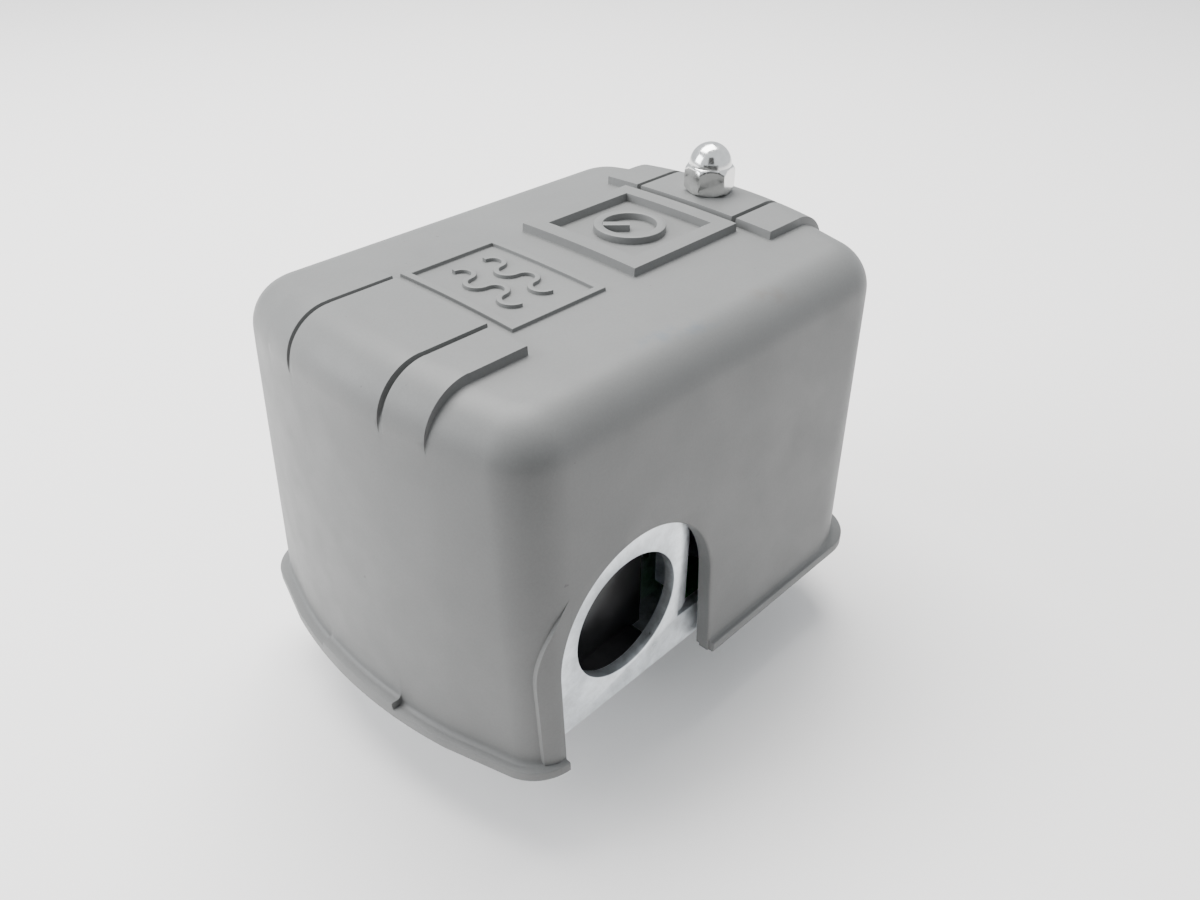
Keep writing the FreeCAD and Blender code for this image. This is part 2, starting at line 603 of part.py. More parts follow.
def bolt(name, radius, length, head_radius, head_height, x, y, z):
    """A round-headed screw: the shank hangs down from z, the head stands on it."""
    shank = cylinder(name + "_shank", radius, length, x, y, f"{z} - ({length})")
    head = cylinder(name + "_head", head_radius, head_height, x, y, z)
    groove = span(name + "_slot", f"{x} - ({head_radius}) - 1", f"{x} + ({head_radius}) + 1",
                  f"{y} - ({head_radius}) / 7", f"{y} + ({head_radius}) / 7",
                  f"{z} + ({head_height}) * 0.55", f"{z} + ({head_height}) + 1")
    return cut(name, join(name + "_blank", shank, head), groove)


def spring(name, mean, wire, pitch, height):
    """A helical wire spring standing on its own origin."""
    body = doc.addObject("PartDesign::Body", name)
    sketch = body.newObject("Sketcher::SketchObject", name + "_wire")
    sketch.AttachmentSupport = [(plane_of(body, "XZ_Plane"), "")]
    sketch.MapMode = "FlatFace"
    circle = Part.Circle(Vector(size(mean), size(wire) / 2, 0), Vector(0, 0, 1), size(wire) / 2)
    ring = sketch.addGeometry(circle, False)
    for label, constraint, text in (
            ("wire", Sketcher.Constraint("Radius", ring, size(wire) / 2), f"{wire} / 2"),
            ("mean", Sketcher.Constraint("DistanceX", -1, 1, ring, 3, size(mean)), mean),
            ("lift", Sketcher.Constraint("DistanceY", -1, 1, ring, 3, size(wire) / 2), f"{wire} / 2")):
        number = sketch.addConstraint(constraint)
        sketch.renameConstraint(number, label)
        bind(sketch, "Constraints." + label, text)
    coil = body.newObject("PartDesign::AdditiveHelix", name + "_coil")
    coil.Profile = (sketch, [""])
    coil.ReferenceAxis = (sketch, ["V_Axis"])
    coil.Mode = 0
    bind(coil, "Pitch", pitch)
    bind(coil, "Height", height)
    body.Tip = coil
    return body


# ---------------------------------------------------------------- base frame



def plate():
    slab = span("plate_slab", "-frame_front", "frame_rear", "-frame_half", "frame_half",
                "plate_level", "plate_top")
    slab = rounded("plate_rounded", slab, "frame_corner", lambda edge, middle: upright(edge) and middle.x > 0)
    tongue = span("tongue", "-tongue_front", "-frame_front + frame_corner", "-tongue_half", "tongue_half",
                  "plate_level", "plate_top")
    tongue = rounded("tongue_rounded", tongue, "tongue_corner",
                     lambda edge, middle: upright(edge) and middle.x < -size("frame_front"))
    return [slab, tongue]


def frame_side(side, sign):
    """One ear with its conduit hole, the fold at its rear, the inward wing and the low flange."""
    def across(low, high):
        return (low, high) if sign > 0 else (f"-({high})", f"-({low})")

    def wall(part, x_low, x_high, y_low, y_high, z_low, z_high):
        near, far = across(y_low, y_high)
        return span(f"{part}_{side}", x_low, x_high, near, far, z_low, z_high)

    ear = wall("ear", "-frame_front", "-ear_rear", "frame_half - steel", "frame_half", "plate_level",
               "ear_top")
    ear = rounded(f"ear_rounded_{side}", ear, "ear_corner",
                  lambda edge, middle: abs(middle.x + size("frame_front")) < 0.01
                  and abs(middle.z - size("ear_top")) < 0.01)
    flange = wall("flange", "-ear_rear", "flange_rear", "frame_half - steel", "frame_half",
                  "plate_level", "flange_top")
    wing = wall("wing", "-ear_rear + fold_radius - steel", "-ear_rear + fold_radius", "wing_inner",
                "frame_half - fold_radius", "fold_base", "ear_top")
    centre = across("frame_half - fold_radius", "0")[0] if sign > 0 else "-(frame_half - fold_radius)"
    roll_outer = cylinder(f"roll_outer_{side}", "fold_radius", "ear_top - fold_base", "-ear_rear", centre,
                          "fold_base")
    roll_inner = cylinder(f"roll_inner_{side}", "fold_radius - steel", "ear_top - fold_base", "-ear_rear",
                          centre, "fold_base")
    y_low, y_high = across("frame_half - fold_radius", "frame_half")
    quarter = span(f"roll_quarter_{side}", "-ear_rear", "-ear_rear + fold_radius", y_low, y_high,
                   "fold_base", "ear_top")
    roll = common(f"roll_{side}", cut(f"roll_ring_{side}", roll_outer, roll_inner), quarter)
    lug = wall("lug", "-pivot_place - lug_width / 2", "-pivot_place + lug_width / 2",
               "lever_half + side_gap", "lever_half + side_gap + steel", "plate_level", "lug_top")
    lug = rounded(f"lug_rounded_{side}", lug, "lug_corner",
                  lambda edge, middle: abs(middle.z - size("lug_top")) < 0.01
                  and abs(abs(middle.x + size("pivot_place")) - size("lug_width") / 2) < 0.01)
    return [ear, flange, wing, roll, lug]


def corners_of(spread):
    """The four signs of a square pattern, as formulas of its half spacing."""
    return [(f"{a}{spread}", f"{b}{spread}") for a in ("", "-") for b in ("", "-")]


def make_base_frame():
    solid = join("frame_solid", *plate(), *frame_side("left", 1), *frame_side("right", -1))
    deep = "steel + 2"
    low = "plate_level - 1"
    holes = [
        cylinder("conduit_bore", "conduit_radius", "2 * frame_half + 10", "-conduit_place",
                 "-frame_half - 5", "conduit_level", axis="y"),
        cylinder("pivot_bore", "pin_radius + touch_gap", "2 * pin_half", "-pivot_place", "-pin_half",
                 "pivot_level", axis="y"),
        cylinder("stem_bore", "stem_radius + running_gap", deep, "0", "0", low),
        cylinder("range_stud_bore", "range_radius + touch_gap", deep, "range_place", "0", low),
        cylinder("cover_stud_bore", "cover_stud_radius + touch_gap", deep, "cover_stud_place", "0", low),
    ]
    for number, (x, y) in enumerate(corners_of("screw_spread")):
        holes.append(cylinder(f"frame_screw_bore_{number}", "screw_radius + hole_gap", deep, x, y, low))
    for side, sign in (("left", ""), ("right", "-")):
        holes.append(cylinder(f"earth_bore_{side}", "earth_radius + touch_gap", deep, "-earth_place",
                              f"{sign}earth_side", low))
        holes.append(cylinder(f"foot_bore_{side}", "foot_screw_radius + touch_gap", deep,
                              "-foot_screw_place", f"{sign}foot_screw_side", low))
    return node(cut("base_frame", solid, *holes), "base_frame")


# ---------------------------------------------------------------- pressure side



def square_slab(name, low, high):
    slab = span(name + "_slab", "-housing_side / 2", "housing_side / 2", "-housing_side / 2",
                "housing_side / 2", low, high)
    return rounded(name + "_rounded", slab, "housing_corner", lambda edge, middle: upright(edge))


def screw_bores(name, low, high):
    return [cylinder(f"{name}_screw_bore_{number}", "screw_radius + hole_gap", f"{high} - {low} + 2", x, y,
                     f"{low} - 1") for number, (x, y) in enumerate(corners_of("screw_spread"))]


def make_pressure_side():
    boss = hexagon("port_hex", "boss_flats", "housing_low", turn="30")
    chamfer = cone("port_hex_chamfer", "boss_flats / 2", "boss_flats / 2 + 5 * boss_height / 3",
                   "housing_low + 0.1")
    body = join("port_body", common("port_boss", boss, chamfer),
                square_slab("port", "housing_low", "housing_top"))
    chamber = cylinder("port_chamber", "chamber_radius", "chamber_depth + 1", z="housing_top - chamber_depth")
    passage = cylinder("port_passage", "passage_radius", "housing_top", z="0.5")
    thread = cylinder("port_thread", "port_radius", "port_depth + 1", z="-1")
    node(cut("port_housing", body, chamber, passage, thread,
             *screw_bores("port", "housing_low", "housing_top")), "port_housing")
    node(cut("diaphragm", square_slab("diaphragm", "housing_top", "ring_low"),
             *screw_bores("diaphragm", "housing_top", "ring_low")), "diaphragm")
    node(cut("retaining_ring", square_slab("ring", "ring_low", "plate_level"),
             cylinder("ring_hole", "ring_bore", "ring_thick + 2", z="ring_low - 1"),
             *screw_bores("ring", "ring_low", "plate_level")), "retaining_ring")
    screws = []
    for number, (x, y) in enumerate(corners_of("screw_spread")):
        shank = cylinder(f"housing_screw_shank_{number}", "screw_radius",
                         "plate_top + 1.5 - housing_low", x, y, "housing_low")
        head = hexagon(f"housing_screw_head_{number}", "2 * screw_head", "screw_head_height", x, y,
                       "housing_low - screw_head_height")
        screws.append(join(f"housing_screw_{number}", shank, head))
    group = doc.addObject("Part::Compound", "housing_screws")
    group.Links = screws
    node(group, "housing_screws")
    tip_centre = "(lever_level - touch_gap - tip_radius)"
    head = cylinder("piston_disc", "piston_radius", "piston_head", z="ring_low + running_gap / 3")
    stem = cylinder("piston_stem", "stem_radius",
                    f"{tip_centre} + tip_radius / 4 - ring_low - piston_head / 2",
                    z="ring_low + piston_head / 2")
    node(join("piston", head, stem, ball("piston_tip", "tip_radius", z=tip_centre)), "piston")


# ---------------------------------------------------------------- lever



def make_lever():
    web = span("lever_web", "-lever_front", "lever_rear", "-lever_half", "lever_half", "lever_level",
               "lever_top")
    web = rounded("lever_web_rounded", web, "lever_nose_radius",
                  lambda edge, middle: upright(edge) and middle.x > 0)
    cheeks = []
    for side, low, high in (("left", "lever_half - lever_thick", "lever_half"),
                            ("right", "-lever_half", "-lever_half + lever_thick")):
        cheeks.append(span(f"lever_cheek_{side}", "-lever_cheek_front", "-lever_cheek_rear", low, high,
                           "lever_level", "lever_cheek_top"))
    tab = span("lever_tab", "-lever_front", "-lever_front + lever_thick", "-lever_tab_half", "lever_tab_half",
               "lever_level", "lever_tab_top")
    holes = [
        cylinder("lever_pin_bore", "pin_radius + running_gap", "2 * pin_half", "-pivot_place", "-pin_half",
                 "pivot_level", axis="y"),
        cylinder("lever_range_bore", "range_lever_hole", "lever_thick + 2", "range_place", "0",
                 "lever_level - 1"),
        cylinder("lever_stud_bore", "diff_lever_hole", "lever_thick + 2", "cover_stud_place", "0",
                 "lever_level - 1"),
    ]
    node(cut("operating_lever", join("lever_solid", web, tab, *cheeks), *holes), "operating_lever")
    node(cylinder("lever_pin", "pin_radius", "2 * pin_half", "-pivot_place", "-pin_half", "pivot_level",
                  axis="y"), "lever_pin")
    clips = []
    for side, y in (("left", "lever_half + side_gap + steel + touch_gap"),
                    ("right", "-(lever_half + side_gap + steel + touch_gap + clip_thick)")):
        disc = cylinder(f"clip_disc_{side}", "clip_radius", "clip_thick", "-pivot_place", y, "pivot_level",
                        axis="y")
        bore = cylinder(f"clip_bore_{side}", "pin_radius + touch_gap", "clip_thick + 2", "-pivot_place",
                        f"{y} - 1", "pivot_level", "y")
        gap = span(f"clip_gap_{side}", "-pivot_place - pin_radius * 0.8", "-pivot_place + pin_radius * 0.8",
                   f"{y} - 1", f"{y} + clip_thick + 1", "pivot_level - clip_radius - 1", "pivot_level")
        clips.append(cut(f"clip_{side}", disc, bore, gap))
    group = doc.addObject("Part::Compound", "pin_clips")
    group.Links = clips
    node(group, "pin_clips")


# ---------------------------------------------------------------- range and differential adjustment

def cup(name, bottom, height, radius, roof, bore, x):
    """A spring cap: a turned cup, open below, with the stud's hole through its roof."""
    return cut(name, cylinder(name + "_outer", radius, height, x, "0", bottom),
               cylinder(name + "_inner", f"{radius} - cap_sheet", f"{height} - {roof}", x, "0", bottom),
               cylinder(name + "_bore", bore, f"{height} + 2", x, "0", bottom))


def nut(name, flats, height, bore, x, z):
    """A hexagon nut with both ends chamfered."""
    prism = hexagon(name + "_hex", flats, height, x, "0", z)
    side = f"({flats}) * 0.5"
    lower = cone(name + "_low", f"{side}", f"{side} + 2 * ({height})", height, x, "0", z)
    upper = cone(name + "_high", f"{side} + 2 * ({height})", f"{side}", height, x, "0", z)
    turned = common(name + "_turned", common(name + "_lower", prism, lower), upper)
    return cut(name, turned, cylinder(name + "_bore", bore, f"{height} + 2", x, "0", f"{z} - 1"))


def make_adjusters():
    stud = cylinder("range_stud_rod", "range_radius", "range_top - plate_level", "range_place", "0",
                    "plate_level")
    collar = cylinder("range_stud_collar", "collar_radius", "collar_height", "range_place", "0", "plate_top")
    node(join("range_stud", stud, collar), "range_stud")
    coil = spring("range_spring", "range_mean", "range_wire", "range_pitch",
                  "range_spring_top - lever_top - range_wire")
    node(put(coil, "range_place", "0", "lever_top"), "range_spring")
    node(cup("range_cap", "range_cap_bottom", "range_cap_height", "range_cap_radius", "range_cap_roof",
             "range_radius + running_gap", "range_place"), "range_cap")
    node(nut("range_nut", "range_nut_flats", "range_nut_height", "range_radius + running_gap", "range_place",
             "range_cap_bottom + range_cap_height + touch_gap"), "range_nut")
    node(cylinder("differential_stud", "cover_stud_radius", "cover_stud_top - plate_level",
                  "cover_stud_place", "0", "plate_level"), "differential_stud")
    node(nut("stud_locknut", "locknut_flats", "locknut_height", "cover_stud_radius + touch_gap",
             "cover_stud_place", "plate_top"), "stud_locknut")
    node(cut("spring_washer",
             cylinder("washer_disc", "washer_radius", "washer_thick", "cover_stud_place", "0", "lever_top"),
             cylinder("washer_hole", "washer_bore", "washer_thick + 2", "cover_stud_place", "0",
                      "lever_top - 1")), "spring_washer")
    coil = spring("differential_spring", "diff_mean", "diff_wire", "diff_pitch",
                  "diff_spring_top - lever_top - washer_thick - diff_wire")
    node(put(coil, "cover_stud_place", "0", "lever_top + washer_thick"), "differential_spring")
    node(cup("differential_cap", "diff_cap_bottom", "diff_cap_height", "diff_cap_radius", "diff_cap_roof",
             "cover_stud_radius + running_gap", "cover_stud_place"), "differential_cap")
    node(nut("differential_nut", "diff_nut_flats", "diff_nut_height", "cover_stud_radius + running_gap",
             "cover_stud_place", "diff_cap_bottom + diff_cap_height + touch_gap"), "differential_nut")


def make_cover_nut():
    seat = "(crest + relief + nut_seat_gap)"
    x = "cover_stud_place"
    prism = hexagon("acorn_prism", "acorn_flats", "acorn_hex", x, "0", seat, turn="acorn_turn")
    side = "acorn_flats * 0.5"
    lower = cone("acorn_low", f"{side} * 1.02", f"{side} * 1.02 + 2 * acorn_hex", "acorn_hex", x, "0", seat)
    upper = cone("acorn_high", f"{side} + 1.6 * acorn_hex", f"{side} * 0.97", "acorn_hex", x, "0", seat)
    wrench = common("acorn_wrench", common("acorn_lower", prism, lower), upper)
    rise = "(acorn_height - acorn_dome)"
    neck = cylinder("acorn_neck", "acorn_dome", rise, x, "0", seat)
    dome = ball("acorn_ball", "acorn_dome", x, "0", f"{seat} + {rise}")
    crown = cut("acorn_crown", dome, cylinder("acorn_trim", "acorn_dome + 1", "acorn_dome + 1", x, "0",
                                             f"{seat} + {rise} - acorn_dome - 1"))
    bore = cylinder("acorn_bore", "cover_stud_radius + running_gap", "acorn_bore_depth + 1", x, "0",
                    f"{seat} - 1")
    node(cut("cover_nut", join("acorn_solid", wrench, neck, crown), bore), "cover_nut")


# ---------------------------------------------------------------- contact block and terminals

LANES = [("line_left", 1.5), ("load_left", 0.5), ("load_right", -0.5), ("line_right", -1.5)]


def make_contact_block():
    foot = span("block_foot", "-block_front", "-block_rear", "-foot_half", "foot_half",
                "plate_top", "foot_top")
    upper = span("block_upper", "-block_front", "-block_rear", "-block_half", "block_half",
                 "plate_top", "block_top")
    pieces = [foot, upper]
    for count in range(-2, 3):
        pieces.append(span(f"barrier_{count + 2}", "-block_front", "-barrier_rear",
                           f"{count} * lane_pitch - barrier_thick / 2",
                           f"{count} * lane_pitch + barrier_thick / 2", "foot_top", "barrier_top"))
    for side, low, high in (("left", "post_inner", "post_half"), ("right", "-post_half", "-post_inner")):
        pieces.append(span(f"post_{side}", "-post_front", "-post_rear", low, high, "plate_top", "post_top"))
    solid = join("block_solid", *pieces)
    solid = rounded("block_rounded", solid, "block_corner",
                    lambda edge, middle: upright(edge) and abs(middle.x + size("block_front")) < 0.01
                    and abs(abs(middle.y) - size("foot_half")) < 0.01)
    bores = [cylinder("carrier_pin_bore", "carrier_pin + touch_gap", "2 * post_half + 2", "-carrier_place",
                      "-post_half - 1", "carrier_level", axis="y")]
    for name, lane in LANES:
        bores.append(cylinder(f"{name}_bore", "terminal_screw_radius + touch_gap", "terminal_screw_depth + 2",
                              "-terminal_screw_place", f"{lane} * lane_pitch",
                              "block_top - terminal_screw_depth"))
    for side, sign in (("left", ""), ("right", "-")):
        bores.append(cylinder(f"block_foot_bore_{side}", "foot_screw_radius + touch_gap",
                              "foot_top - plate_top + 2", "-foot_screw_place", f"{sign}foot_screw_side",
                              "plate_top - 1"))
    node(cut("contact_block", solid, *bores), "contact_block")
    screws = []
    for side, sign in (("left", ""), ("right", "-")):
        screws.append(bolt(f"foot_screw_{side}", "foot_screw_radius", "foot_top - plate_level",
                           "foot_screw_head", "foot_screw_height", "-foot_screw_place",
                           f"{sign}foot_screw_side", "foot_top"))
    group = doc.addObject("Part::Compound", "block_screws")
    group.Links = screws
    node(group, "block_screws")


def make_terminals():
    screws = []
    clamps = []
    clamp_low = "(block_top + terminal_thick + wire_gap)"
    for name, lane in LANES:
        y = f"{lane} * lane_pitch"
        strip = span(f"{name}_strip", "-terminal_front", "-terminal_rear", f"{y} - terminal_width / 2",
                     f"{y} + terminal_width / 2", "block_top", "block_top + terminal_thick")
        button = cylinder(f"{name}_button", "contact_radius", "contact_height", "-contact_place", y,
                          "block_top + terminal_thick")
        bore = cylinder(f"{name}_hole", "terminal_screw_radius + hole_gap", "terminal_thick + 2",
                        "-terminal_screw_place", y, "block_top - 1")
        node(cut(f"{name}_terminal", join(f"{name}_blank", strip, button), bore), f"{name}_terminal")
        plate_blank = span(f"{name}_clamp_blank", "-terminal_screw_place - clamp_length / 2",
                           "-terminal_screw_place + clamp_length / 2", f"{y} - clamp_length / 2",
                           f"{y} + clamp_length / 2", clamp_low, f"{clamp_low} + clamp_thick")
        clamps.append(cut(f"{name}_clamp", plate_blank,
                          cylinder(f"{name}_clamp_hole", "terminal_screw_radius + hole_gap",
                                   "clamp_thick + 2", "-terminal_screw_place", y, f"{clamp_low} - 1")))
        screws.append(bolt(f"{name}_screw", "terminal_screw_radius",
                           f"{clamp_low} + clamp_thick - block_top + terminal_screw_depth - touch_gap",
                           "terminal_head", "terminal_head_height", "-terminal_screw_place", y,
                           f"{clamp_low} + clamp_thick"))
    for label, items in (("terminal_screws", screws), ("terminal_clamps", clamps)):
        group = doc.addObject("Part::Compound", label)
        group.Links = items
        node(group, label)


def make_carrier():
    touch = "(block_top + terminal_thick + contact_height + touch_gap)"
    bar_low = f"({touch} + contact_height)"
    bar_high = f"({bar_low} + bar_thick)"
    for side, sign in (("left", ""), ("right", "-")):
        centre = f"{sign}lane_pitch"
        reach = "lane_pitch / 2 + bar_overhang"
        bar = span(f"bar_{side}", "-contact_place - bar_width / 2", "-contact_place + bar_width / 2",
                   f"{centre} - ({reach})", f"{centre} + {reach}", bar_low, bar_high)
        buttons = [cylinder(f"bar_button_{side}_{part}", "contact_radius", f"{bar_low} - {touch}",
                            "-contact_place", f"{centre} {part} lane_pitch / 2", touch)
                   for part in ("+", "-")]
        node(join(f"moving_contact_{side}", bar, *buttons), f"moving_contact_{side}")
    beam = span("carrier_beam", "-carrier_front", "-carrier_rear", "-carrier_half", "carrier_half", bar_high,
                "carrier_top")
    beam = rounded("carrier_beam_rounded", beam, "carrier_edge",
                   lambda edge, middle: abs(middle.z - size("carrier_top")) < 0.01 and abs(middle.y) < 0.01)
    barrel = cylinder("carrier_barrel", "barrel_radius", "2 * carrier_half",
                      "-carrier_place", "-carrier_half", "carrier_level", axis="y")
    arms = []
    for side, sign in (("left", ""), ("right", "-")):
        arms.append(span(f"carrier_arm_{side}", "-carrier_rear - 1", "-carrier_place",
                         f"{sign}carrier_arm_place - carrier_arm_half",
                         f"{sign}carrier_arm_place + carrier_arm_half", bar_high, "carrier_top - 1"))
        arms.append(span(f"carrier_knee_{side}", "-carrier_place - barrel_radius", "-carrier_place",
                         f"{sign}carrier_arm_place - carrier_arm_half",
                         f"{sign}carrier_arm_place + carrier_arm_half", "carrier_level", "carrier_top - 1"))
    bore = cylinder("carrier_bore", "carrier_pin + running_gap", "2 * carrier_half + 2", "-carrier_place",
                    "-carrier_half - 1", "carrier_level", axis="y")
    node(cut("contact_carrier", join("carrier_solid", beam, barrel, *arms), bore), "contact_carrier")
    node(cylinder("carrier_pivot_pin", "carrier_pin", "2 * carrier_pin_half", "-carrier_place",
                  "-carrier_pin_half", "carrier_level", axis="y"), "carrier_pivot_pin")
    coil = spring("snap_spring", "coil_mean", "coil_wire", "coil_pitch", "2 * coil_half - coil_wire")
    coil.Placement = Placement(Vector(), AXES["y"])
    node(put(coil, "-carrier_place", "-coil_half", "carrier_level"), "snap_spring")


def make_earth_screws():
    screws = []
    for side, sign in (("left", ""), ("right", "-")):
        y = f"{sign}earth_side"
        screw = bolt(f"earth_screw_{side}", "earth_radius", "earth_reach", "earth_head", "earth_head_height",
                     "-earth_place", y, "plate_top + earth_cup_thick")
        cup_disc = cylinder(f"earth_cup_{side}", "earth_cup", "earth_cup_thick",
                            "-earth_place", y, "plate_top")
        screws.append(join(f"earth_set_{side}", screw, cup_disc))
    group = doc.addObject("Part::Compound", "earth_screws")
    group.Links = screws
    node(group, "earth_screws")


make_cover()
make_cover_nut()
make_base_frame()
make_pressure_side()
make_lever()
make_adjusters()
make_contact_block()
make_terminals()
make_carrier()
make_earth_screws()
doc.recompute()

for item in doc.Objects:
    if "Invalid" in item.State or "Error" in item.State:
        raise RuntimeError(f"{item.Name} did not build: {item.State}")
os.makedirs("parts", exist_ok=True)
for item in NODES:
    shape = item.Shape
    if shape.isNull() or not shape.isValid():
        raise RuntimeError(f"{item.Label} has no valid shape")
    shape.exportStep(f"parts/{item.Label}.step")
    print(item.Label, len(shape.Solids), round(shape.Volume, 1))
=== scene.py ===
import json
import math

import bmesh
import bpy
import numpy as np
from mathutils import Matrix, Vector

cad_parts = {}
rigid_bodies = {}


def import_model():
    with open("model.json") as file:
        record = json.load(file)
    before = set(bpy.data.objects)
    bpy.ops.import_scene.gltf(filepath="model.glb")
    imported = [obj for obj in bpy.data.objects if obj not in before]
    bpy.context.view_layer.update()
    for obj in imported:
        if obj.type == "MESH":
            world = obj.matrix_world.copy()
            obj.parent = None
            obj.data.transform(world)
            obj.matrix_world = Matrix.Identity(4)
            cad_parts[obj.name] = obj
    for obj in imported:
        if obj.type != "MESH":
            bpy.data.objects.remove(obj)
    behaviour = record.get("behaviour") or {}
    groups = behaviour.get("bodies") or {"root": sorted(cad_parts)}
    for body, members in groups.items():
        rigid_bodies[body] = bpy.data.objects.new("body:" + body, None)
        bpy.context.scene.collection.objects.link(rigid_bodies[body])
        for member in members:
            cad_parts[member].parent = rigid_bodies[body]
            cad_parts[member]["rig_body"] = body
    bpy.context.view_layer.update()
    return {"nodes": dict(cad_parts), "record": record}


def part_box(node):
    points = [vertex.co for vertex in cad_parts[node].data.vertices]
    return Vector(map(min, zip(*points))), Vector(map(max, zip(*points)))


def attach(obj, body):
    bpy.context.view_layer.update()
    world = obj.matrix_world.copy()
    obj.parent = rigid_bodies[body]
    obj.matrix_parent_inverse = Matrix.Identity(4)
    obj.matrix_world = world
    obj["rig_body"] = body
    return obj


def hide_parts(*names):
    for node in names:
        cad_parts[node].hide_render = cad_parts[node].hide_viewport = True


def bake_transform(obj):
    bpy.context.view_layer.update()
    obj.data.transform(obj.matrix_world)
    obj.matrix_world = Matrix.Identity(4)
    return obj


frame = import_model()

MM = 0.001

# ---------------------------------------------------------------- sizes, in millimetres

COVER_LOW, COVER_HIGH = (np.array(corner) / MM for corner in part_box("cover"))
RIM_BOTTOM, RIM_HALF = COVER_LOW[2], COVER_HIGH[1]
RIM_FRONT, RIM_REAR = -COVER_LOW[0], COVER_HIGH[0]
RELIEF = 1.45
CREST = COVER_HIGH[2] - RELIEF
RIM_THICK, TAB_RISE, TAB_HALF = 1.95, 1.3, 9.8
WALL = 1.9
SHOULDER = 7.8
CROWN = 340.0

# half width, front reach, rear reach, front corner, rear corner, front bow, rear bow
RIM = np.array([RIM_HALF, RIM_FRONT, RIM_REAR, 8.6, 9.0, 90.0, 90.0])
SKIRT = np.array([RIM_HALF - 1.0, RIM_FRONT - 1.9, RIM_REAR - 1.7, 8.5, 14.5, 90.0, 122.0])
TOP = np.array([SKIRT[0] - 3.0, SKIRT[1] - 2.5, SKIRT[2] - 0.1, 9.7, 8.9, 90.0, 122.0])

RIM_BEVEL, RIM_FILLET = 0.25, 0.8

PAD_HALF, BAND_INNER, BAND_OUTER = 10.55, 11.4, 18.8
FRONT_ZONE, REAR_ZONE = -40.3, 15.0
# front edge, rear edge, half width, width of the line
SQUARE = (-12.3, 13.4, 12.86, 3.2)
PANEL = (-37.9, -18.9, 13.0, 1.3)
PANEL_RISE = 0.6
MARK_SINK = 0.5      # how far the marks' feet reach into the cover
GAUGE_RADIUS, GAUGE_LINE = 6.2, 1.6
WAVE_RADIUS, WAVE_LINE, WAVE_COUNT = 2.4, 0.9, 4

ARCH_X, ARCH_Z, ARCH_RADIUS, ARCH_BORDER, BORDER_RISE = -34.15, 33.1, 17.0, 3.6, 0.6
# section of the opening's edge: growth of the outline and distance from the cover's side
ARCH_EDGE = [(0.0, -9.0), (0.0, -0.35), (0.05, -0.16), (0.16, -0.05), (0.35, 0.02), (0.35, 5.0)]
NOTCH_START, NOTCH_END, NOTCH_RISE = 19.9, 22.5, 0.6
RIB_XS, RIB_THICK, RIB_REACH, RIB_LOW, RIB_HIGH = (-2.0, 9.0), 1.5, 3.0, 24.1, 48.0

STUD_LOW, STUD_HIGH = (np.array(corner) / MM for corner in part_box("differential_stud"))
STUD_X = (STUD_LOW[0] + STUD_HIGH[0]) / 2
STUD_HOLE = 2.38

NUT_FLATS, NUT_HEX, NUT_DOME, NUT_TURN, NUT_BORE, NUT_HOLE = 7.94, 4.85, 3.84, 13.8, 6.6, 2.14
# radius as a share of half the flats, with the height above the foot and the depth below the hexagon's top
NUT_FOOT = ((0.93, 0.0), (0.985, 0.05), (1.03, 0.22), (1.10, 0.48), (1.20, 0.78))
NUT_TOP = ((1.195, 1.05), (1.15, 0.75), (1.10, 0.48), (1.05, 0.24), (1.0, 0.06))
NUT_LIFT = 0.03      # height of the step from the hexagon to the dome
TIP = 0.02           # radius of the smallest ring, at the tip of a dome or the end of a bore

PLATE_TOP = 19.0
CHEEK_FRONT, CHEEK_REAR, CHEEK_IN, CHEEK_OUT, CHEEK_EDGE = -47.6, -22.6, 22.4, 25.7, 35.5
FOOT_INNER, FOOT_REACH = 22.0, 30.4

# the cover's grid
STEP = 0.16          # how far a relief edge spreads sideways
EDGE_SHARES = (-0.5, -0.2, 0.2, 0.5)     # the lines across that spread, as shares of it
CLOSEST = 0.012      # grid lines nearer than this are one line
CORNER_CELLS = 7     # grid cells along each half of a rounded corner
BOW_REACH = 20.5     # the grid follows the bowed ends to this distance from the middle
END_LOW, END_HIGH = -43.5, 17.5          # the straight part of the sides
SIDE_FREE = 2.0      # rearward of this, the side's lines give way to the rear corner
LANE_MARGIN = 1      # beyond the lanes, the top's lines begin to follow the sides

# cleaning of meshes
MERGE, WELD = 0.004, 0.002


# ---------------------------------------------------------------- mesh helpers

def linked(name, data):
    """A new object in the scene."""
    item = bpy.data.objects.new(name, data)
    bpy.context.scene.collection.objects.link(item)
    return item


def new_object(name, vertices, faces, scale=MM):
    mesh = bpy.data.meshes.new(name)
    mesh.from_pydata([tuple(float(c) * scale for c in v) for v in vertices], [], faces)
    mesh.validate()
    mesh.update()
    return linked(name, mesh)


def smooth(item, angle):
    """Smooth shading that keeps every edge sharper than the angle."""
    mesh = item.data
    mesh.polygons.foreach_set("use_smooth", [True] * len(mesh.polygons))
    mesh.set_sharp_from_angle(angle=math.radians(angle))
    mesh.update()
    return item


def apply_modifiers(item):
    """Bakes the modifiers into the mesh."""
    graph = bpy.context.evaluated_depsgraph_get()
    mesh = bpy.data.meshes.new_from_object(item.evaluated_get(graph))
    old = item.data
    item.modifiers.clear()
    item.data = mesh
    bpy.data.meshes.remove(old)
    return item


def boolean(item, other, operation):
    """Cuts, joins or intersects with another object, which is used up."""
    modifier = item.modifiers.new("cut", "BOOLEAN")
    modifier.operation = operation
    modifier.solver = "EXACT"
    modifier.object = other
    apply_modifiers(item)
    bpy.data.objects.remove(other)
    return item


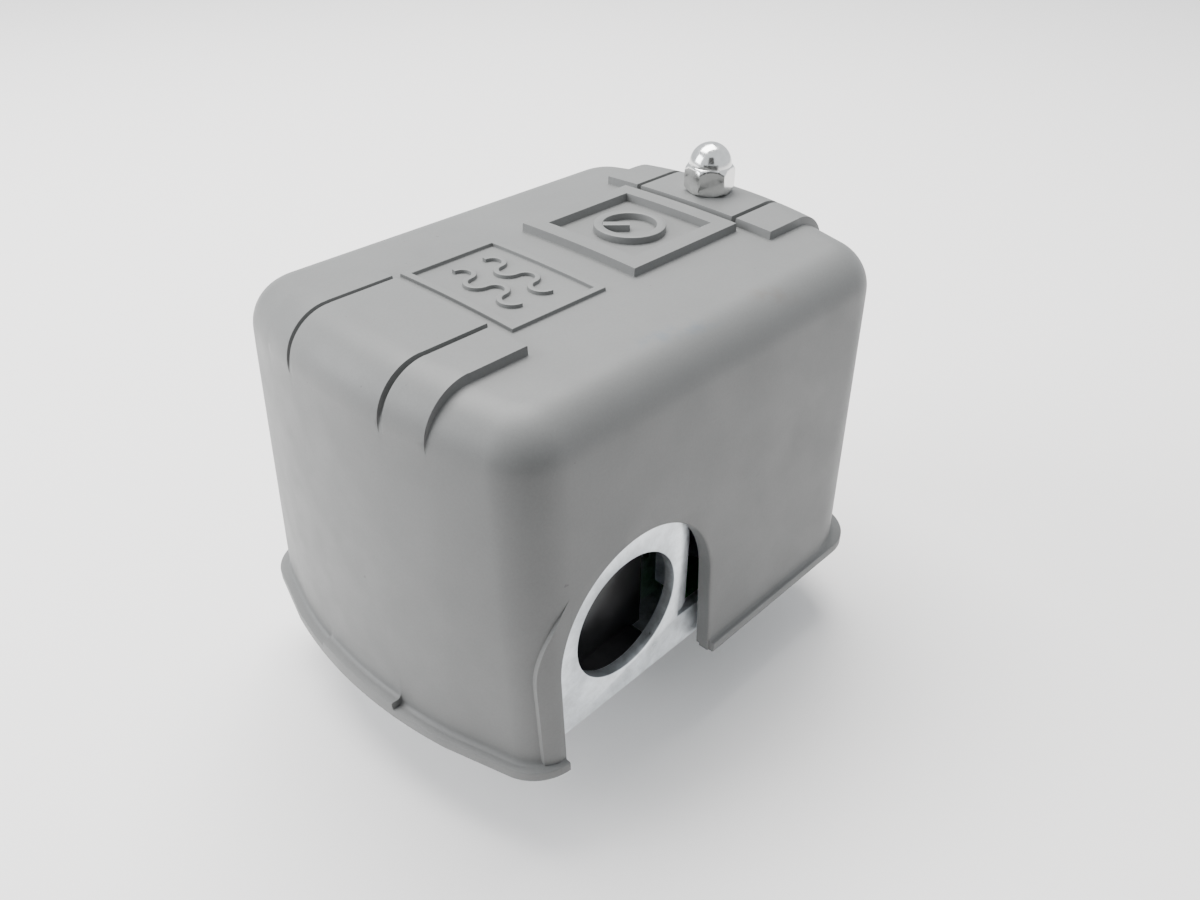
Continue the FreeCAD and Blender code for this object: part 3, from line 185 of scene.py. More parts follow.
def cleaned(item):
    """Without double points and slivers, and with its faces turned outward."""
    mesh = bmesh.new()
    mesh.from_mesh(item.data)
    bmesh.ops.remove_doubles(mesh, verts=mesh.verts, dist=MERGE * MM)
    bmesh.ops.dissolve_degenerate(mesh, edges=mesh.edges, dist=MERGE * MM)
    bmesh.ops.recalc_face_normals(mesh, faces=mesh.faces)
    mesh.to_mesh(item.data)
    mesh.free()
    return item


def flat(rows):
    return [point for row in rows for point in row]


def join_rings(rows):
    """Quads between successive rings of the same length."""
    size = len(rows[0])
    faces = []
    for low in range(0, (len(rows) - 1) * size, size):
        for k in range(size):
            n = (k + 1) % size
            faces.append((low + k, low + n, low + size + n, low + size + k))
    return faces


def solid(name, rows):
    """A closed solid from rings, with a flat face at each end."""
    size, last = len(rows[0]), (len(rows) - 1) * len(rows[0])
    ends = [tuple(range(size))[::-1], tuple(range(last, last + size))]
    return cleaned(new_object(name, flat(rows), join_rings(rows) + ends))


def block(name, low, high):
    """A closed box between two corners."""
    (x0, y0, z0), (x1, y1, z1) = low, high
    vertices = [(x, y, z) for z in (z0, z1) for y in (y0, y1) for x in (x0, x1)]
    faces = [(0, 2, 3, 1), (4, 5, 7, 6), (0, 1, 5, 4), (2, 6, 7, 3), (0, 4, 6, 2), (1, 3, 7, 5)]
    return new_object(name, vertices, faces)


def bevelled(item, width, segments=2):
    modifier = item.modifiers.new("bevel", "BEVEL")
    modifier.width = width * MM
    modifier.segments = segments
    modifier.limit_method = "ANGLE"
    modifier.angle_limit = math.radians(38)
    modifier.use_clamp_overlap = True
    return apply_modifiers(item)


def joined(name, items):
    """One object made of several, each kept as its own closed part."""
    mesh = bmesh.new()
    for item in items:
        mesh.from_mesh(item.data)
        bpy.data.objects.remove(item)
    data = bpy.data.meshes.new(name)
    mesh.to_mesh(data)
    mesh.free()
    return linked(name, data)


def node_copy(node, name):
    """A copy of a CAD node's mesh, without its material."""
    item = linked(name, frame["nodes"][node].data.copy())
    item.data.materials.clear()
    return item


# ---------------------------------------------------------------- cover shell

def end_arcs(half, reach, corner, bow):
    """Centre of the bow, centre of the corner and the angle where they meet."""
    bow_x = reach - bow
    corner_y = half - corner
    corner_x = bow_x + math.sqrt((bow - corner) ** 2 - corner_y ** 2)
    return bow_x, corner_x, corner_y, math.atan2(corner_y, corner_x - bow_x)


def end_points(half, reach, corner, bow, ys):
    """One end of the outline, from -Y to +Y: corner, bow with the given y values, corner.

    Each point comes with its outward direction. A corner is split at its middle.
    """
    bow_x, corner_x, corner_y, lean = end_arcs(half, reach, corner, bow)
    corner_angles = np.linspace(math.pi / 2, lean, 2 * CORNER_CELLS + 1)
    points = []
    for angle in corner_angles:
        points.append((corner_x + corner * math.cos(angle), -corner_y - corner * math.sin(angle),
                       math.cos(angle), -math.sin(angle)))
    for y in ys:
        angle = math.asin(y / bow)
        points.append((bow_x + bow * math.cos(angle), y, math.cos(angle), math.sin(angle)))
    for angle in corner_angles[::-1]:
        points.append((corner_x + corner * math.cos(angle), corner_y + corner * math.sin(angle),
                       math.cos(angle), math.sin(angle)))
    return np.array(points)


def spaced(low, high, gap):
    """Even steps from low to high, none wider than the gap."""
    count = max(int(math.ceil((high - low) / gap)), 1)
    return list(np.linspace(low, high, count + 1))


def with_edges(values, edges, gap):
    """Grid lines from values[0] to values[1] with two close pairs at each relief edge."""
    marks = [mark + share * STEP for mark in edges for share in EDGE_SHARES]
    marks = sorted(marks + [values[1]])
    fixed = [values[0]]
    for mark in marks:
        if mark - fixed[-1] > CLOSEST:
            fixed.append(mark)
    lines = []
    for low, high in zip(fixed, fixed[1:]):
        lines += spaced(low, high, gap)[:-1]
    lines.append(fixed[-1])
    return np.array(lines)


HALF_EDGES = [TAB_HALF, PAD_HALF, BAND_INNER, BAND_OUTER,
              SQUARE[2], SQUARE[2] - SQUARE[3], PANEL[2], PANEL[2] - PANEL[3]]
BOW_YS = with_edges((-BOW_REACH, BOW_REACH), HALF_EDGES + [-edge for edge in HALF_EDGES], 1.3)
LONG_EDGES = [FRONT_ZONE, REAR_ZONE,
              SQUARE[0], SQUARE[0] + SQUARE[3], SQUARE[1] - SQUARE[3], SQUARE[1],
              PANEL[0], PANEL[0] + PANEL[3], PANEL[1] - PANEL[3], PANEL[1]]
MIDDLE_XS = with_edges((END_LOW, END_HIGH), LONG_EDGES, 1.5)


def ring(shape, inset):
    """The whole outline, counterclockwise from the rear's -Y corner, with outward directions."""
    half, front, rear, front_corner, rear_corner, front_bow, rear_bow = shape
    rear_end = end_points(half - inset, rear - inset, rear_corner - inset, rear_bow - inset, BOW_YS)
    front_end = end_points(half - inset, front - inset, front_corner - inset, front_bow - inset, BOW_YS)
    front_end[:, 0] *= -1
    front_end[:, 2] *= -1
    front_end = front_end[::-1]
    # the grid's lines stay straight up the side, but keep clear of the rear corner's rounding
    squeeze = min(1.0, (rear_end[0][0] - 1.0 - SIDE_FREE) / (END_HIGH - SIDE_FREE))
    xs = np.where(MIDDLE_XS > SIDE_FREE, SIDE_FREE + (MIDDLE_XS - SIDE_FREE) * squeeze, MIDDLE_XS)

    def side(places, sign):
        return np.array([(x, sign * (half - inset), 0.0, float(sign)) for x in places])

    return np.vstack([rear_end, side(xs[::-1], 1), front_end, side(xs, -1)])


def crown_height(y, inset=0.0):
    """Height of the crowned top, or of a skin inside it, at a distance from the middle."""
    radius = CROWN - inset
    return CREST - CROWN + np.sqrt(radius ** 2 - y ** 2)


def step_up(values, edge, sign=1):
    """0 before the edge, 1 after it, with rounded shoulders over the width of a step."""
    t = (values - edge) * sign / STEP
    return np.interp(t, EDGE_SHARES, [0.0, 0.1, 0.9, 1.0])


def between(values, low, high):
    """1 between the edges, 0 outside them."""
    return np.minimum(step_up(values, low), step_up(values, high, -1))


def relief_height(x, y):
    """How far the relief lifts the surface, straight up."""
    side = np.abs(y)
    lanes = np.maximum(step_up(side, PAD_HALF, -1), between(side, BAND_INNER, BAND_OUTER))
    ends = np.maximum(step_up(x, FRONT_ZONE, -1), step_up(x, REAR_ZONE))
    height = RELIEF * np.minimum(lanes, ends)

    def frame_lift(low, high, half, line, rise):
        outer = np.minimum(between(x, low, high), step_up(side, half, -1))
        inner = np.minimum(between(x, low + line, high - line), step_up(side, half - line, -1))
        return rise * np.clip(outer - inner, 0, 1)

    height = np.maximum(height, frame_lift(*SQUARE, RELIEF))
    return np.maximum(height, frame_lift(*PANEL, PANEL_RISE))


def lifted(points, normals):
    """Moves surface points outward by the relief, which is measured straight up."""
    lift = relief_height(points[:, 0], points[:, 1]) * np.clip((normals[:, 2] - 0.05) / 0.95, 0, 1)
    return points + normals * lift[:, None]


def shape_at(z):
    """The outline's sizes at a level, between those at the foot and at the top."""
    t = (z - RIM_BOTTOM) / (CREST - RIM_BOTTOM)
    return SKIRT + (TOP - SKIRT) * t


def wall_ring(z, inset):
    points = ring(shape_at(z), inset)
    return np.column_stack([points[:, :2], np.full(len(points), z)]), points[:, 2:]


def shoulder_rings(inset, stations):
    """Rings of the rounded shoulder, from the wall to the crowned top, with outward directions.

    Side, front and rear lean differently, so each moves in by its own share of the rounding.
    """
    radius = SHOULDER - inset
    foot = shape_at(CREST - SHOULDER)
    lean = np.arctan((SKIRT - TOP)[:3] / (CREST - RIM_BOTTOM))
    slope = np.array([(foot[0] - SHOULDER) / CROWN, 0.0, 0.0])
    rings = []
    for share in np.linspace(0, 1, stations):
        angle = lean + (math.pi / 2 - slope - lean) * share
        side, front, rear = inset + radius * (np.cos(lean) - np.cos(angle))
        shape = foot - np.array([side, front, rear, (side + front) / 2, (side + rear) / 2, front, rear])
        points = ring(shape, 0.0)
        across = points[:, 3] ** 2
        along = np.where(points[:, 2] < 0, angle[1], angle[2])
        steep = along + (angle[0] - along) * across
        level = crown_height(points[:, 1] - points[:, 3] * radius * np.cos(steep), inset) - radius
        rings.append((np.column_stack([points[:, :2], level + radius * np.sin(steep)]),
                      np.column_stack([points[:, 2:] * np.cos(steep)[:, None], np.sin(steep)])))
    return rings


def skin(inset, with_relief):
    """The rings of one skin above the ledge: walls and shoulder."""
    start = RIM_BOTTOM + RIM_THICK + TAB_RISE + 1.0 if with_relief else RIM_BOTTOM
    rows = []
    for z in spaced(start, CREST - SHOULDER, 4.0)[:-1]:
        points, out = wall_ring(z, inset)
        rows.append((points, np.column_stack([out, np.zeros(len(out))])))
    rows += shoulder_rings(inset, 17 if with_relief else 9)
    if with_relief:
        rows = [(lifted(points, normals), normals) for points, normals in rows]
    return [points for points, _ in rows]


def top_surface(edge, inset, with_relief):
    """Points and faces inside the edge ring; the first len(edge) vertices are the ring itself.

    The ring is read as the border of a rectangle whose corners are the middles of the rounded
    corners, so the grid's lines run from border to border.
    """
    corner = CORNER_CELLS
    ends = 4 * corner + 2 + len(BOW_YS)
    sides = len(MIDDLE_XS)
    total = len(edge)
    rows_y = 2 * corner + 2 + len(BOW_YS)          # points along an end, middle of corner to middle of corner
    # ring indices of the four borders
    rear = [k % total for k in range(corner, corner + rows_y)]
    left = [k % total for k in range(corner + rows_y - 1, ends + sides + corner + 1)]
    front = [k % total for k in range(ends + sides + corner, ends + sides + corner + rows_y)][::-1]
    right = [k % total for k in range(ends + sides + corner + rows_y - 1, 2 * (ends + sides) + corner + 1)]
    right = right[::-1]
    # u runs from rear to front along the sides, v from -Y to +Y
    nu, nv = len(left), len(rear)
    half = edge[:, 1].max()
    outer = np.linspace(BOW_REACH, half, corner + 2)
    base_ys = np.concatenate([-outer[::-1][:-1], BOW_YS, outer[1:]])
    grid = [[0] * nv for _ in range(nu)]
    inside = []
    for i in range(nu):
        start, stop = edge[right[i]], edge[left[i]]
        for j in range(nv):
            if i == 0:
                grid[i][j] = rear[j]
            elif i == nu - 1:
                grid[i][j] = front[j]
            elif j == 0:
                grid[i][j] = right[i]
            elif j == nv - 1:
                grid[i][j] = left[i]
            else:
                a = edge[rear[j]]
                b = edge[front[j]]
                side_x = (start[0] + stop[0]) / 2
                weight = np.clip((abs(base_ys[j]) - BAND_OUTER - LANE_MARGIN)
                                 / (half - BAND_OUTER - LANE_MARGIN), 0, 1)
                if side_x > END_HIGH:
                    t = (side_x - END_HIGH) / (edge[left[0]][0] - END_HIGH)
                    x = END_HIGH + (a[0] - END_HIGH) * t
                    y = base_ys[j] + (a[1] - base_ys[j]) * t
                elif side_x < END_LOW:
                    t = (END_LOW - side_x) / (END_LOW - edge[left[-1]][0])
                    x = END_LOW + (b[0] - END_LOW) * t
                    y = base_ys[j] + (b[1] - base_ys[j]) * t
                else:
                    x, y, t = side_x, base_ys[j], 0.0
                border = stop if base_ys[j] > 0 else start
                y += weight * (1 - t) * (border[1] - math.copysign(half, border[1]))
                grid[i][j] = total + len(inside)
                inside.append((x, y))
    inside = np.array(inside)
    points = np.column_stack([inside, crown_height(inside[:, 1], inset)])
    if with_relief:
        normals = np.column_stack([np.zeros(len(inside)), inside[:, 1] / CROWN,
                                   np.sqrt(1 - (inside[:, 1] / CROWN) ** 2)])
        points = lifted(points, normals)
    faces = []
    for i in range(nu - 1):
        for j in range(nv - 1):
            faces.append((grid[i][j], grid[i][j + 1], grid[i + 1][j + 1], grid[i + 1][j]))
    return points, faces


def ledge_rings():
    """The rim from its inner foot outward and up to the wall, with the raised tab at the front."""
    base = ring(RIM, 0.0)
    tab = np.interp(np.abs(base[:, 1]), [TAB_HALF - STEP / 2, TAB_HALF + STEP / 2], [1.0, 0.0])
    tab = tab * TAB_RISE * (base[:, 0] < 0)
    rows = []
    for inset, lift in ((RIM_BEVEL, 0.0), (0.0, RIM_BEVEL)):
        points = ring(RIM, inset)
        rows.append(np.column_stack([points[:, :2], np.full(len(points), RIM_BOTTOM + lift)]))
    ledge = RIM_BOTTOM + RIM_THICK + tab
    for inset, drop in ((0.0, RIM_BEVEL), (0.08, RIM_BEVEL * 0.35), (RIM_BEVEL, 0.0)):
        points = ring(RIM, inset)
        rows.append(np.column_stack([points[:, :2], ledge - drop]))
    wall = ring(shape_at(RIM_BOTTOM + RIM_THICK), 0.0)
    rim_in = rows[-1][:, :2]
    fillet = np.minimum(RIM_FILLET, 0.7 * np.linalg.norm(wall[:, :2] - rim_in, axis=1))
    for angle in np.linspace(0, math.pi / 2, 6):
        reach = fillet * (1 - math.sin(angle))
        rise = fillet * (1 - math.cos(angle))
        rows.append(np.column_stack([wall[:, :2] + wall[:, 2:] * reach[:, None], ledge + rise]))
    return rows


def make_shell():
    """Outer skin, inner skin and the foot between them, as one closed solid."""
    vertices, faces = [], []

    def add_skin(rows, inset, with_relief, order):
        """Adds the walls, then the top inside their last ring; order -1 turns the faces inward."""
        start, edge = len(vertices), len(vertices) + (len(rows) - 1) * size
        vertices.extend(flat(rows))
        faces.extend(tuple(start + k for k in face[::order]) for face in join_rings(rows))
        points, top = top_surface(rows[-1], inset, with_relief)
        body = len(vertices) - size
        vertices.extend(points)
        faces.extend(tuple(k + (edge if k < size else body) for k in face[::order]) for face in top)
        return start

    outer = ledge_rings() + skin(0.0, True)
    size = len(outer[0])
    add_skin(outer, 0.0, True, 1)
    inner_start = add_skin(skin(WALL, False), WALL, False, -1)
    for k in range(size):
        n = (k + 1) % size
        faces.append((k, inner_start + k, inner_start + n, n))
    return cleaned(new_object("cover_shell", vertices, faces))


def side_plane(z):
    """Distance of the cover's flat side from the middle at a level."""
    return shape_at(z)[0]


def arch_path(grow, low):
    """The arch's outline in the side plane: up, round and down."""
    radius = ARCH_RADIUS + grow
    points = []
    for z in spaced(low, ARCH_Z, 2.0)[:-1]:
        points.append((ARCH_X + radius, z))
    for angle in np.linspace(0, math.pi, 61):
        points.append((ARCH_X + radius * math.cos(angle), ARCH_Z + radius * math.sin(angle)))
    for z in spaced(low, ARCH_Z, 2.0)[:-1][::-1]:
        points.append((ARCH_X - radius, z))
    return np.array(points)


def arch_solid(name, sign, low, profile):
    """A prism along Y with the arch's outline; profile lists growth and distance from the side."""
    rows = []
    for grow, away in profile:
        path = arch_path(grow, low)
        y = np.array([sign * (side_plane(z) + away) for z in path[:, 1]])
        rows.append(np.column_stack([path[:, 0], y, path[:, 1]]))
    return solid(name, rows)


def turned(name, profile, x, segments=64):
    """A solid of revolution about a vertical axis at y 0; profile lists radius and height."""
    angles = np.linspace(0, 2 * math.pi, segments, endpoint=False)
    return solid(name, [np.column_stack([x + r * np.cos(angles), r * np.sin(angles), np.full(segments, z)])
                        for r, z in profile])


def raised_skin(rise):
    """A closed hull which stands a little proud of the cover's walls, from the rim to above the arch."""
    return solid("raised_skin", [wall_ring(z, -rise)[0] for z in (RIM_BOTTOM - 1, 25.0, 35.0, 45.0, 58.0)])


def make_cover():
    """The shell with its arches' raised borders and openings, two rim notches and the stud's hole."""
    shell = make_shell()
    for sign in (-1, 1):
        border = arch_solid("arch_border", sign, RIM_BOTTOM + 0.5,
                            [(ARCH_BORDER, -2.5), (ARCH_BORDER, -0.02)])
        boolean(border, raised_skin(BORDER_RISE), "INTERSECT")
        boolean(shell, border, "UNION")
    for sign in (-1, 1):
        boolean(shell, arch_solid("arch_opening", sign, RIM_BOTTOM - 6, ARCH_EDGE), "DIFFERENCE")
        notch = block("notch", (NOTCH_START, sign * (RIM_HALF - 5), RIM_BOTTOM - 1),
                      (NOTCH_END, sign * (RIM_HALF + 5), RIM_BOTTOM + RIM_THICK + NOTCH_RISE))
        boolean(shell, notch, "DIFFERENCE")
    seat = CREST + RELIEF
    hole = turned("stud_hole", [(STUD_HOLE, CREST - 9), (STUD_HOLE, seat - 0.3),
                                (STUD_HOLE + 0.3, seat + 0.05), (STUD_HOLE + 1.2, seat + 1)], STUD_X)
    boolean(shell, hole, "DIFFERENCE")
    return smooth(cleaned(shell), 30)


def ribbon(name, path, width, low, high, closed=False, bevel=0.18):
    """A raised line along a level path, with bevelled edges."""
    path = np.array(path, float)
    if closed:
        ahead, behind = np.roll(path, -1, axis=0), np.roll(path, 1, axis=0)
    else:
        ahead = np.vstack([path[1:], path[-1:]])
        behind = np.vstack([path[:1], path[:-1]])
    along = ahead - behind
    along /= np.linalg.norm(along, axis=1)[:, None]
    across = np.column_stack([-along[:, 1], along[:, 0]])
    edge = width / 2
    section = [(-edge, low), (-edge, high - bevel), (-edge + bevel * 0.3, high - bevel * 0.3),
               (-edge + bevel, high), (edge - bevel, high), (edge - bevel * 0.3, high - bevel * 0.3),
               (edge, high - bevel), (edge, low)]
    vertices, faces = [], []
    for point, side in zip(path, across):
        for offset, level in section:
            x, y = point + side * offset
            vertices.append((x, y, level + crown_height(y) - CREST))
    size, count = len(section), len(path)
    for i in range(count if closed else count - 1):
        n = (i + 1) % count
        for j in range(size):
            m = (j + 1) % size
            faces.append((i * size + j, n * size + j, n * size + m, i * size + m))
    if not closed:
        faces.append(tuple(range(size)))
        faces.append(tuple(range((count - 1) * size, count * size))[::-1])
    return cleaned(new_object(name, vertices, faces))


def make_marks():
    """Plain signs on the top: a pressure gauge in the square and water waves in the panel."""
    centre = (SQUARE[0] + SQUARE[1]) / 2
    low, high = CREST - MARK_SINK, CREST + RELIEF * 0.85
    radius = GAUGE_RADIUS - GAUGE_LINE / 2
    circle = [(centre + radius * math.cos(a), radius * math.sin(a))
              for a in np.linspace(0, 2 * math.pi, 73)[:-1]]
    items = [ribbon("gauge_ring", circle, GAUGE_LINE, low, high, closed=True)]
    direction = np.array([math.cos(math.radians(135)), math.sin(math.radians(135))])
    tip = direction * (GAUGE_RADIUS - GAUGE_LINE)
    items.append(ribbon("gauge_pointer", [(centre, 0), (centre + tip[0], tip[1])], GAUGE_LINE, low, high))
    middle = (PANEL[0] + PANEL[1]) / 2
    radius = WAVE_RADIUS - WAVE_LINE / 2
    for row in (-1, 1):
        path = []
        x = middle + row * WAVE_RADIUS * 1.3
        for count in range(WAVE_COUNT):
            y = (2 * count - WAVE_COUNT + 1) * radius
            turn = 1 if count % 2 else -1
            bend = [(x + turn * radius * math.sin(a), y - radius * math.cos(a))
                    for a in np.linspace(0, math.pi, 15)]
            path += bend if count == 0 else bend[1:]
        items.append(ribbon("wave", path, WAVE_LINE, CREST - MARK_SINK, CREST + PANEL_RISE, bevel=0.12))
    return smooth(joined("cover_marks", items), 40)


def make_ribs():
    """Four ribs inside the long sides."""
    items = []
    for sign in (-1, 1):
        for x in RIB_XS:
            rows = []
            for z in (RIB_LOW, RIB_LOW + 1.0, RIB_HIGH - 1.0, RIB_HIGH):
                reach = RIB_REACH if RIB_LOW < z < RIB_HIGH else RIB_REACH - 0.8
                wall = side_plane(z) - WALL + 0.2
                rows.append([(x, sign * wall, z), (x, sign * (wall - reach), z),
                             (x + RIB_THICK, sign * (wall - reach), z), (x + RIB_THICK, sign * wall, z)])
            items.append(bevelled(solid("rib", rows), 0.2))
    return smooth(joined("cover_ribs", items), 40)


def refined(node, width):
    """A copy of a CAD node with clean faces and rounded edges, which stands for it."""
    source = frame["nodes"][node]
    item = node_copy(node, node + "_fine")
    mesh = bmesh.new()
    mesh.from_mesh(item.data)
    bmesh.ops.remove_doubles(mesh, verts=mesh.verts, dist=WELD * MM)
    bmesh.ops.dissolve_limit(mesh, angle_limit=math.radians(0.6), verts=mesh.verts, edges=mesh.edges)
    mesh.to_mesh(item.data)
    mesh.free()
    bevelled(item, width)
    smooth(item, 33)
    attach(item, source["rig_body"])
    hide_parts(node)
    return item


def make_cover_nut():
    """Acorn nut: a chamfered hexagon with a round crown, and the blind bore for the stud."""
    low, high = (np.array(corner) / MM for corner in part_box("cover_nut"))
    x, seat = (low[0] + high[0]) / 2, low[2]
    count = 192
    angles = np.linspace(0, 2 * math.pi, count, endpoint=False)
    turn = (angles - math.radians(NUT_TURN)) % (math.pi / 3) - math.pi / 6
    half = NUT_FLATS / 2
    hexagon = half / np.cos(turn)
    rows = []

    def level(limit, z):
        """A ring as wide as the hexagon or the limit, whichever is less, with a slightly rounded change."""
        radius = (hexagon ** -60 + np.full(count, float(limit)) ** -60) ** (-1 / 60)
        rows.append(np.column_stack([x + radius * np.cos(angles), radius * np.sin(angles),
                                     np.full(count, seat + z)]))

    for share, z in NUT_FOOT:
        level(half * share, z)
    for z in spaced(1.2, NUT_HEX - 1.35, 0.5):
        level(half * 1.25, z)
    for share, depth in NUT_TOP:
        level(half * share, NUT_HEX - depth)
    level(NUT_DOME + 0.06, NUT_HEX)
    for angle in np.linspace(0, math.pi / 2, 25)[:-1]:
        level(NUT_DOME * math.cos(angle), NUT_HEX + NUT_LIFT + NUT_DOME * math.sin(angle))
    level(TIP, NUT_HEX + NUT_LIFT + NUT_DOME)
    outer = len(rows)
    for radius, z in ((TIP, NUT_BORE), (NUT_HOLE * 0.9, NUT_BORE), (NUT_HOLE, NUT_BORE - 0.3),
                      (NUT_HOLE, 0.5), (NUT_HOLE + 0.4, 0.0)):
        level(radius, z)
    vertices = flat(rows)
    faces = join_rings(rows[:outer])
    faces += [tuple(outer * count + k for k in face) for face in join_rings(rows[outer:])]
    last = (len(rows) - 1) * count
    for k in range(count):
        n = (k + 1) % count
        faces.append((last + k, last + n, n, k))
    faces.append(tuple(range((outer - 1) * count, outer * count)))
    faces.append(tuple(range(outer * count, (outer + 1) * count))[::-1])
    item = smooth(cleaned(new_object("cover_nut_fine", vertices, faces)), 24)
    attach(item, "cover_nut")
    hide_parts("cover_nut")
    return item


def make_block_sides():
    """The contact block's moulded sides and the thin foot under it, which close it off behind the ears."""
    items = []
    for sign in (-1, 1):
        section = [(CHEEK_IN, PLATE_TOP), (CHEEK_OUT, PLATE_TOP), (CHEEK_OUT, CHEEK_EDGE),
                   (CHEEK_OUT - 1.4, CHEEK_EDGE + 2.6), (CHEEK_IN, CHEEK_EDGE + 3.2)]
        rows = [[(x, sign * y, z) for y, z in section] for x in (CHEEK_FRONT, CHEEK_REAR)]
        items.append(bevelled(solid("block_side", rows), 0.5, 3))
        inner, outer = sorted((sign * FOOT_INNER, sign * FOOT_REACH))
        sheet = block("block_foot_sheet", (CHEEK_FRONT, inner, PLATE_TOP - 0.05),
                      (CHEEK_REAR - 2.5, outer, PLATE_TOP + 0.85))
        items.append(bevelled(cleaned(sheet), 0.2))
    return smooth(joined("contact_block_sides", items), 40)


def split_spring(node):
    """The lower coils stand on the lever; the upper ones stay in place between the frame and the cap, on no
    body.
    """
    low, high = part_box(node)
    middle = (low + high) / 2
    for part, keep_low in (("lower", True), ("upper", False)):
        item = node_copy(node, f"{node}_{part}")
        mesh = bmesh.new()
        mesh.from_mesh(item.data)
        bmesh.ops.remove_doubles(mesh, verts=mesh.verts, dist=WELD * MM)
        bmesh.ops.bisect_plane(mesh, geom=mesh.verts[:] + mesh.edges[:] + mesh.faces[:], plane_co=middle,
                               plane_no=(0, 0, 1), clear_outer=keep_low, clear_inner=not keep_low)
        bmesh.ops.holes_fill(mesh, edges=[edge for edge in mesh.edges if edge.is_boundary], sides=0)
        mesh.to_mesh(item.data)
        mesh.free()
        smooth(item, 40)
        if keep_low:
            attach(item, "lever")
        else:
            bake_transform(item)
        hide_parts(node)
        paint(item, "spring_steel")


# ---------------------------------------------------------------- camera, light and floor

CAMERA_TURNS = (-46.214, 34.818, 0.463)      # azimuth, elevation and roll, in degrees
CAMERA_TARGET = (-6.309, 0, 34.667)          # in millimetres
CAMERA_DISTANCE = 0.193295                   # in metres
SENSOR = 36                                  # sensor width in millimetres
FOCAL, IMAGE_WIDTH = 1015.686, 1200          # focal length and image width, both in pixels

# distance in front, half width, bottom and top of the dark cards towards the camera, in metres
SHADES = ((0.17, 0.15, 0.02, 0.11), (0.42, 0.14, 0.18, 0.60))
FLOOR_HALF = 1.6                             # in metres


def make_camera():
    """The photograph's viewpoint, above the front left corner."""
    azimuth, elevation, roll = (math.radians(angle) for angle in CAMERA_TURNS)
    back = Vector((math.sin(azimuth) * math.cos(elevation), -math.cos(azimuth) * math.cos(elevation),
                   math.sin(elevation)))
    right = Vector((math.cos(azimuth), math.sin(azimuth), 0))
    up = back.cross(right)
    right, up = (math.cos(roll) * right + math.sin(roll) * up, math.cos(roll) * up - math.sin(roll) * right)
    data = bpy.data.cameras.new("camera")
    data.sensor_width = SENSOR
    data.lens = SENSOR * FOCAL / IMAGE_WIDTH
    data.clip_start = 0.01
    item = linked("camera", data)
    turn = Matrix((right, up, back)).transposed().to_4x4()
    item.matrix_world = Matrix.Translation(Vector(CAMERA_TARGET) * MM + back * CAMERA_DISTANCE) @ turn
    bpy.context.scene.camera = item


def area_light(name, place, size, power, colour):
    """A rectangular light turned towards the object."""
    data = bpy.data.lights.new(name, "AREA")
    data.shape = "RECTANGLE"
    data.size, data.size_y = size
    data.energy = power
    data.color = colour
    item = linked(name, data)
    item.location = place
    item.rotation_euler = (Vector((0, 0, 0.04)) - Vector(place)).to_track_quat("-Z", "Y").to_euler()


def make_stage():
    """A pale floor, a pale surrounding light, two lamps and two dark cards that the camera doesn't see."""
    corners = [(-FLOOR_HALF, -FLOOR_HALF, 0), (FLOOR_HALF, -FLOOR_HALF, 0),
               (FLOOR_HALF, FLOOR_HALF, 0), (-FLOOR_HALF, FLOOR_HALF, 0)]
    floor = new_object("floor", corners, [(0, 1, 2, 3)], scale=1)
    floor.data.materials.append(blank_material("floor_paper", (0.86, 0.845, 0.835), 0.75)[0])
    world = bpy.data.worlds.new("studio")
    world.use_nodes = True
    background = world.node_tree.nodes["Background"]
    background.inputs["Color"].default_value = (0.93, 0.965, 1.0, 1)
    background.inputs["Strength"].default_value = 1.15
    bpy.context.scene.world = world
    area_light("ceiling_panel", place=(0.10, 0.25, 0.75), size=(0.7, 0.5), power=15.0,
               colour=(1.0, 0.99, 0.975))
    dark = blank_material("shade_card", (0.03, 0.03, 0.03), 0.9)[0]
    across = Vector((0.69, -0.72, 0))
    for reach, half, low, high in SHADES:
        foot = Vector((-0.72, -0.69, 0)) * reach + Vector((0, 0, low))
        rise = Vector((0, 0, high - low))
        corners = [foot - across * half, foot + across * half,
                   foot + across * half + rise, foot - across * half + rise]
        card = new_object("shade_card", corners, [(0, 1, 2, 3)], scale=1)
        card.data.materials.append(dark)
        card.visible_camera = False
    area_light("left_window", place=(-0.60, 0.45, 0.40), size=(0.5, 0.5), power=7.5,
               colour=(0.97, 0.985, 1.0))


# ---------------------------------------------------------------- materials

GREY = (0.137, 0.139, 0.137)
ZINC = (0.79, 0.83, 0.865)
# place, size, turn in degrees and tint of the rub marks on the cover
SMUDGES = [((-19, -28, 76), (11, 2.2, 4), -8, (0.095, 0.113, 0.132)),
           ((1, -30, 76), (9, 2.0, 4), -30, (0.125, 0.115, 0.105)),
           ((-57, -6, 60), (4, 5, 6), 0, (0.122, 0.118, 0.113))]


def scaled(colour, factor):
    return tuple(min(c * factor, 1) for c in colour)


def blank_material(name, colour, roughness, metallic=0.0):
    material = bpy.data.materials.new(name)
    material.use_nodes = True
    nodes, links = material.node_tree.nodes, material.node_tree.links
    shader = nodes["Principled BSDF"]
    shader.inputs["Base Color"].default_value = (*colour, 1)
    shader.inputs["Roughness"].default_value = roughness
    shader.inputs["Metallic"].default_value = metallic
    return material, nodes, links, shader


def noise(nodes, links, scale, detail=4.0, roughness=0.55, vector=None):
    texture = nodes.new("ShaderNodeTexNoise")
    texture.inputs["Scale"].default_value = scale
    texture.inputs["Detail"].default_value = detail
    texture.inputs["Roughness"].default_value = roughness
    if vector is None:
        vector = nodes.new("ShaderNodeTexCoord").outputs["Object"]
    links.new(vector, texture.inputs["Vector"])
    return texture.outputs["Fac"]


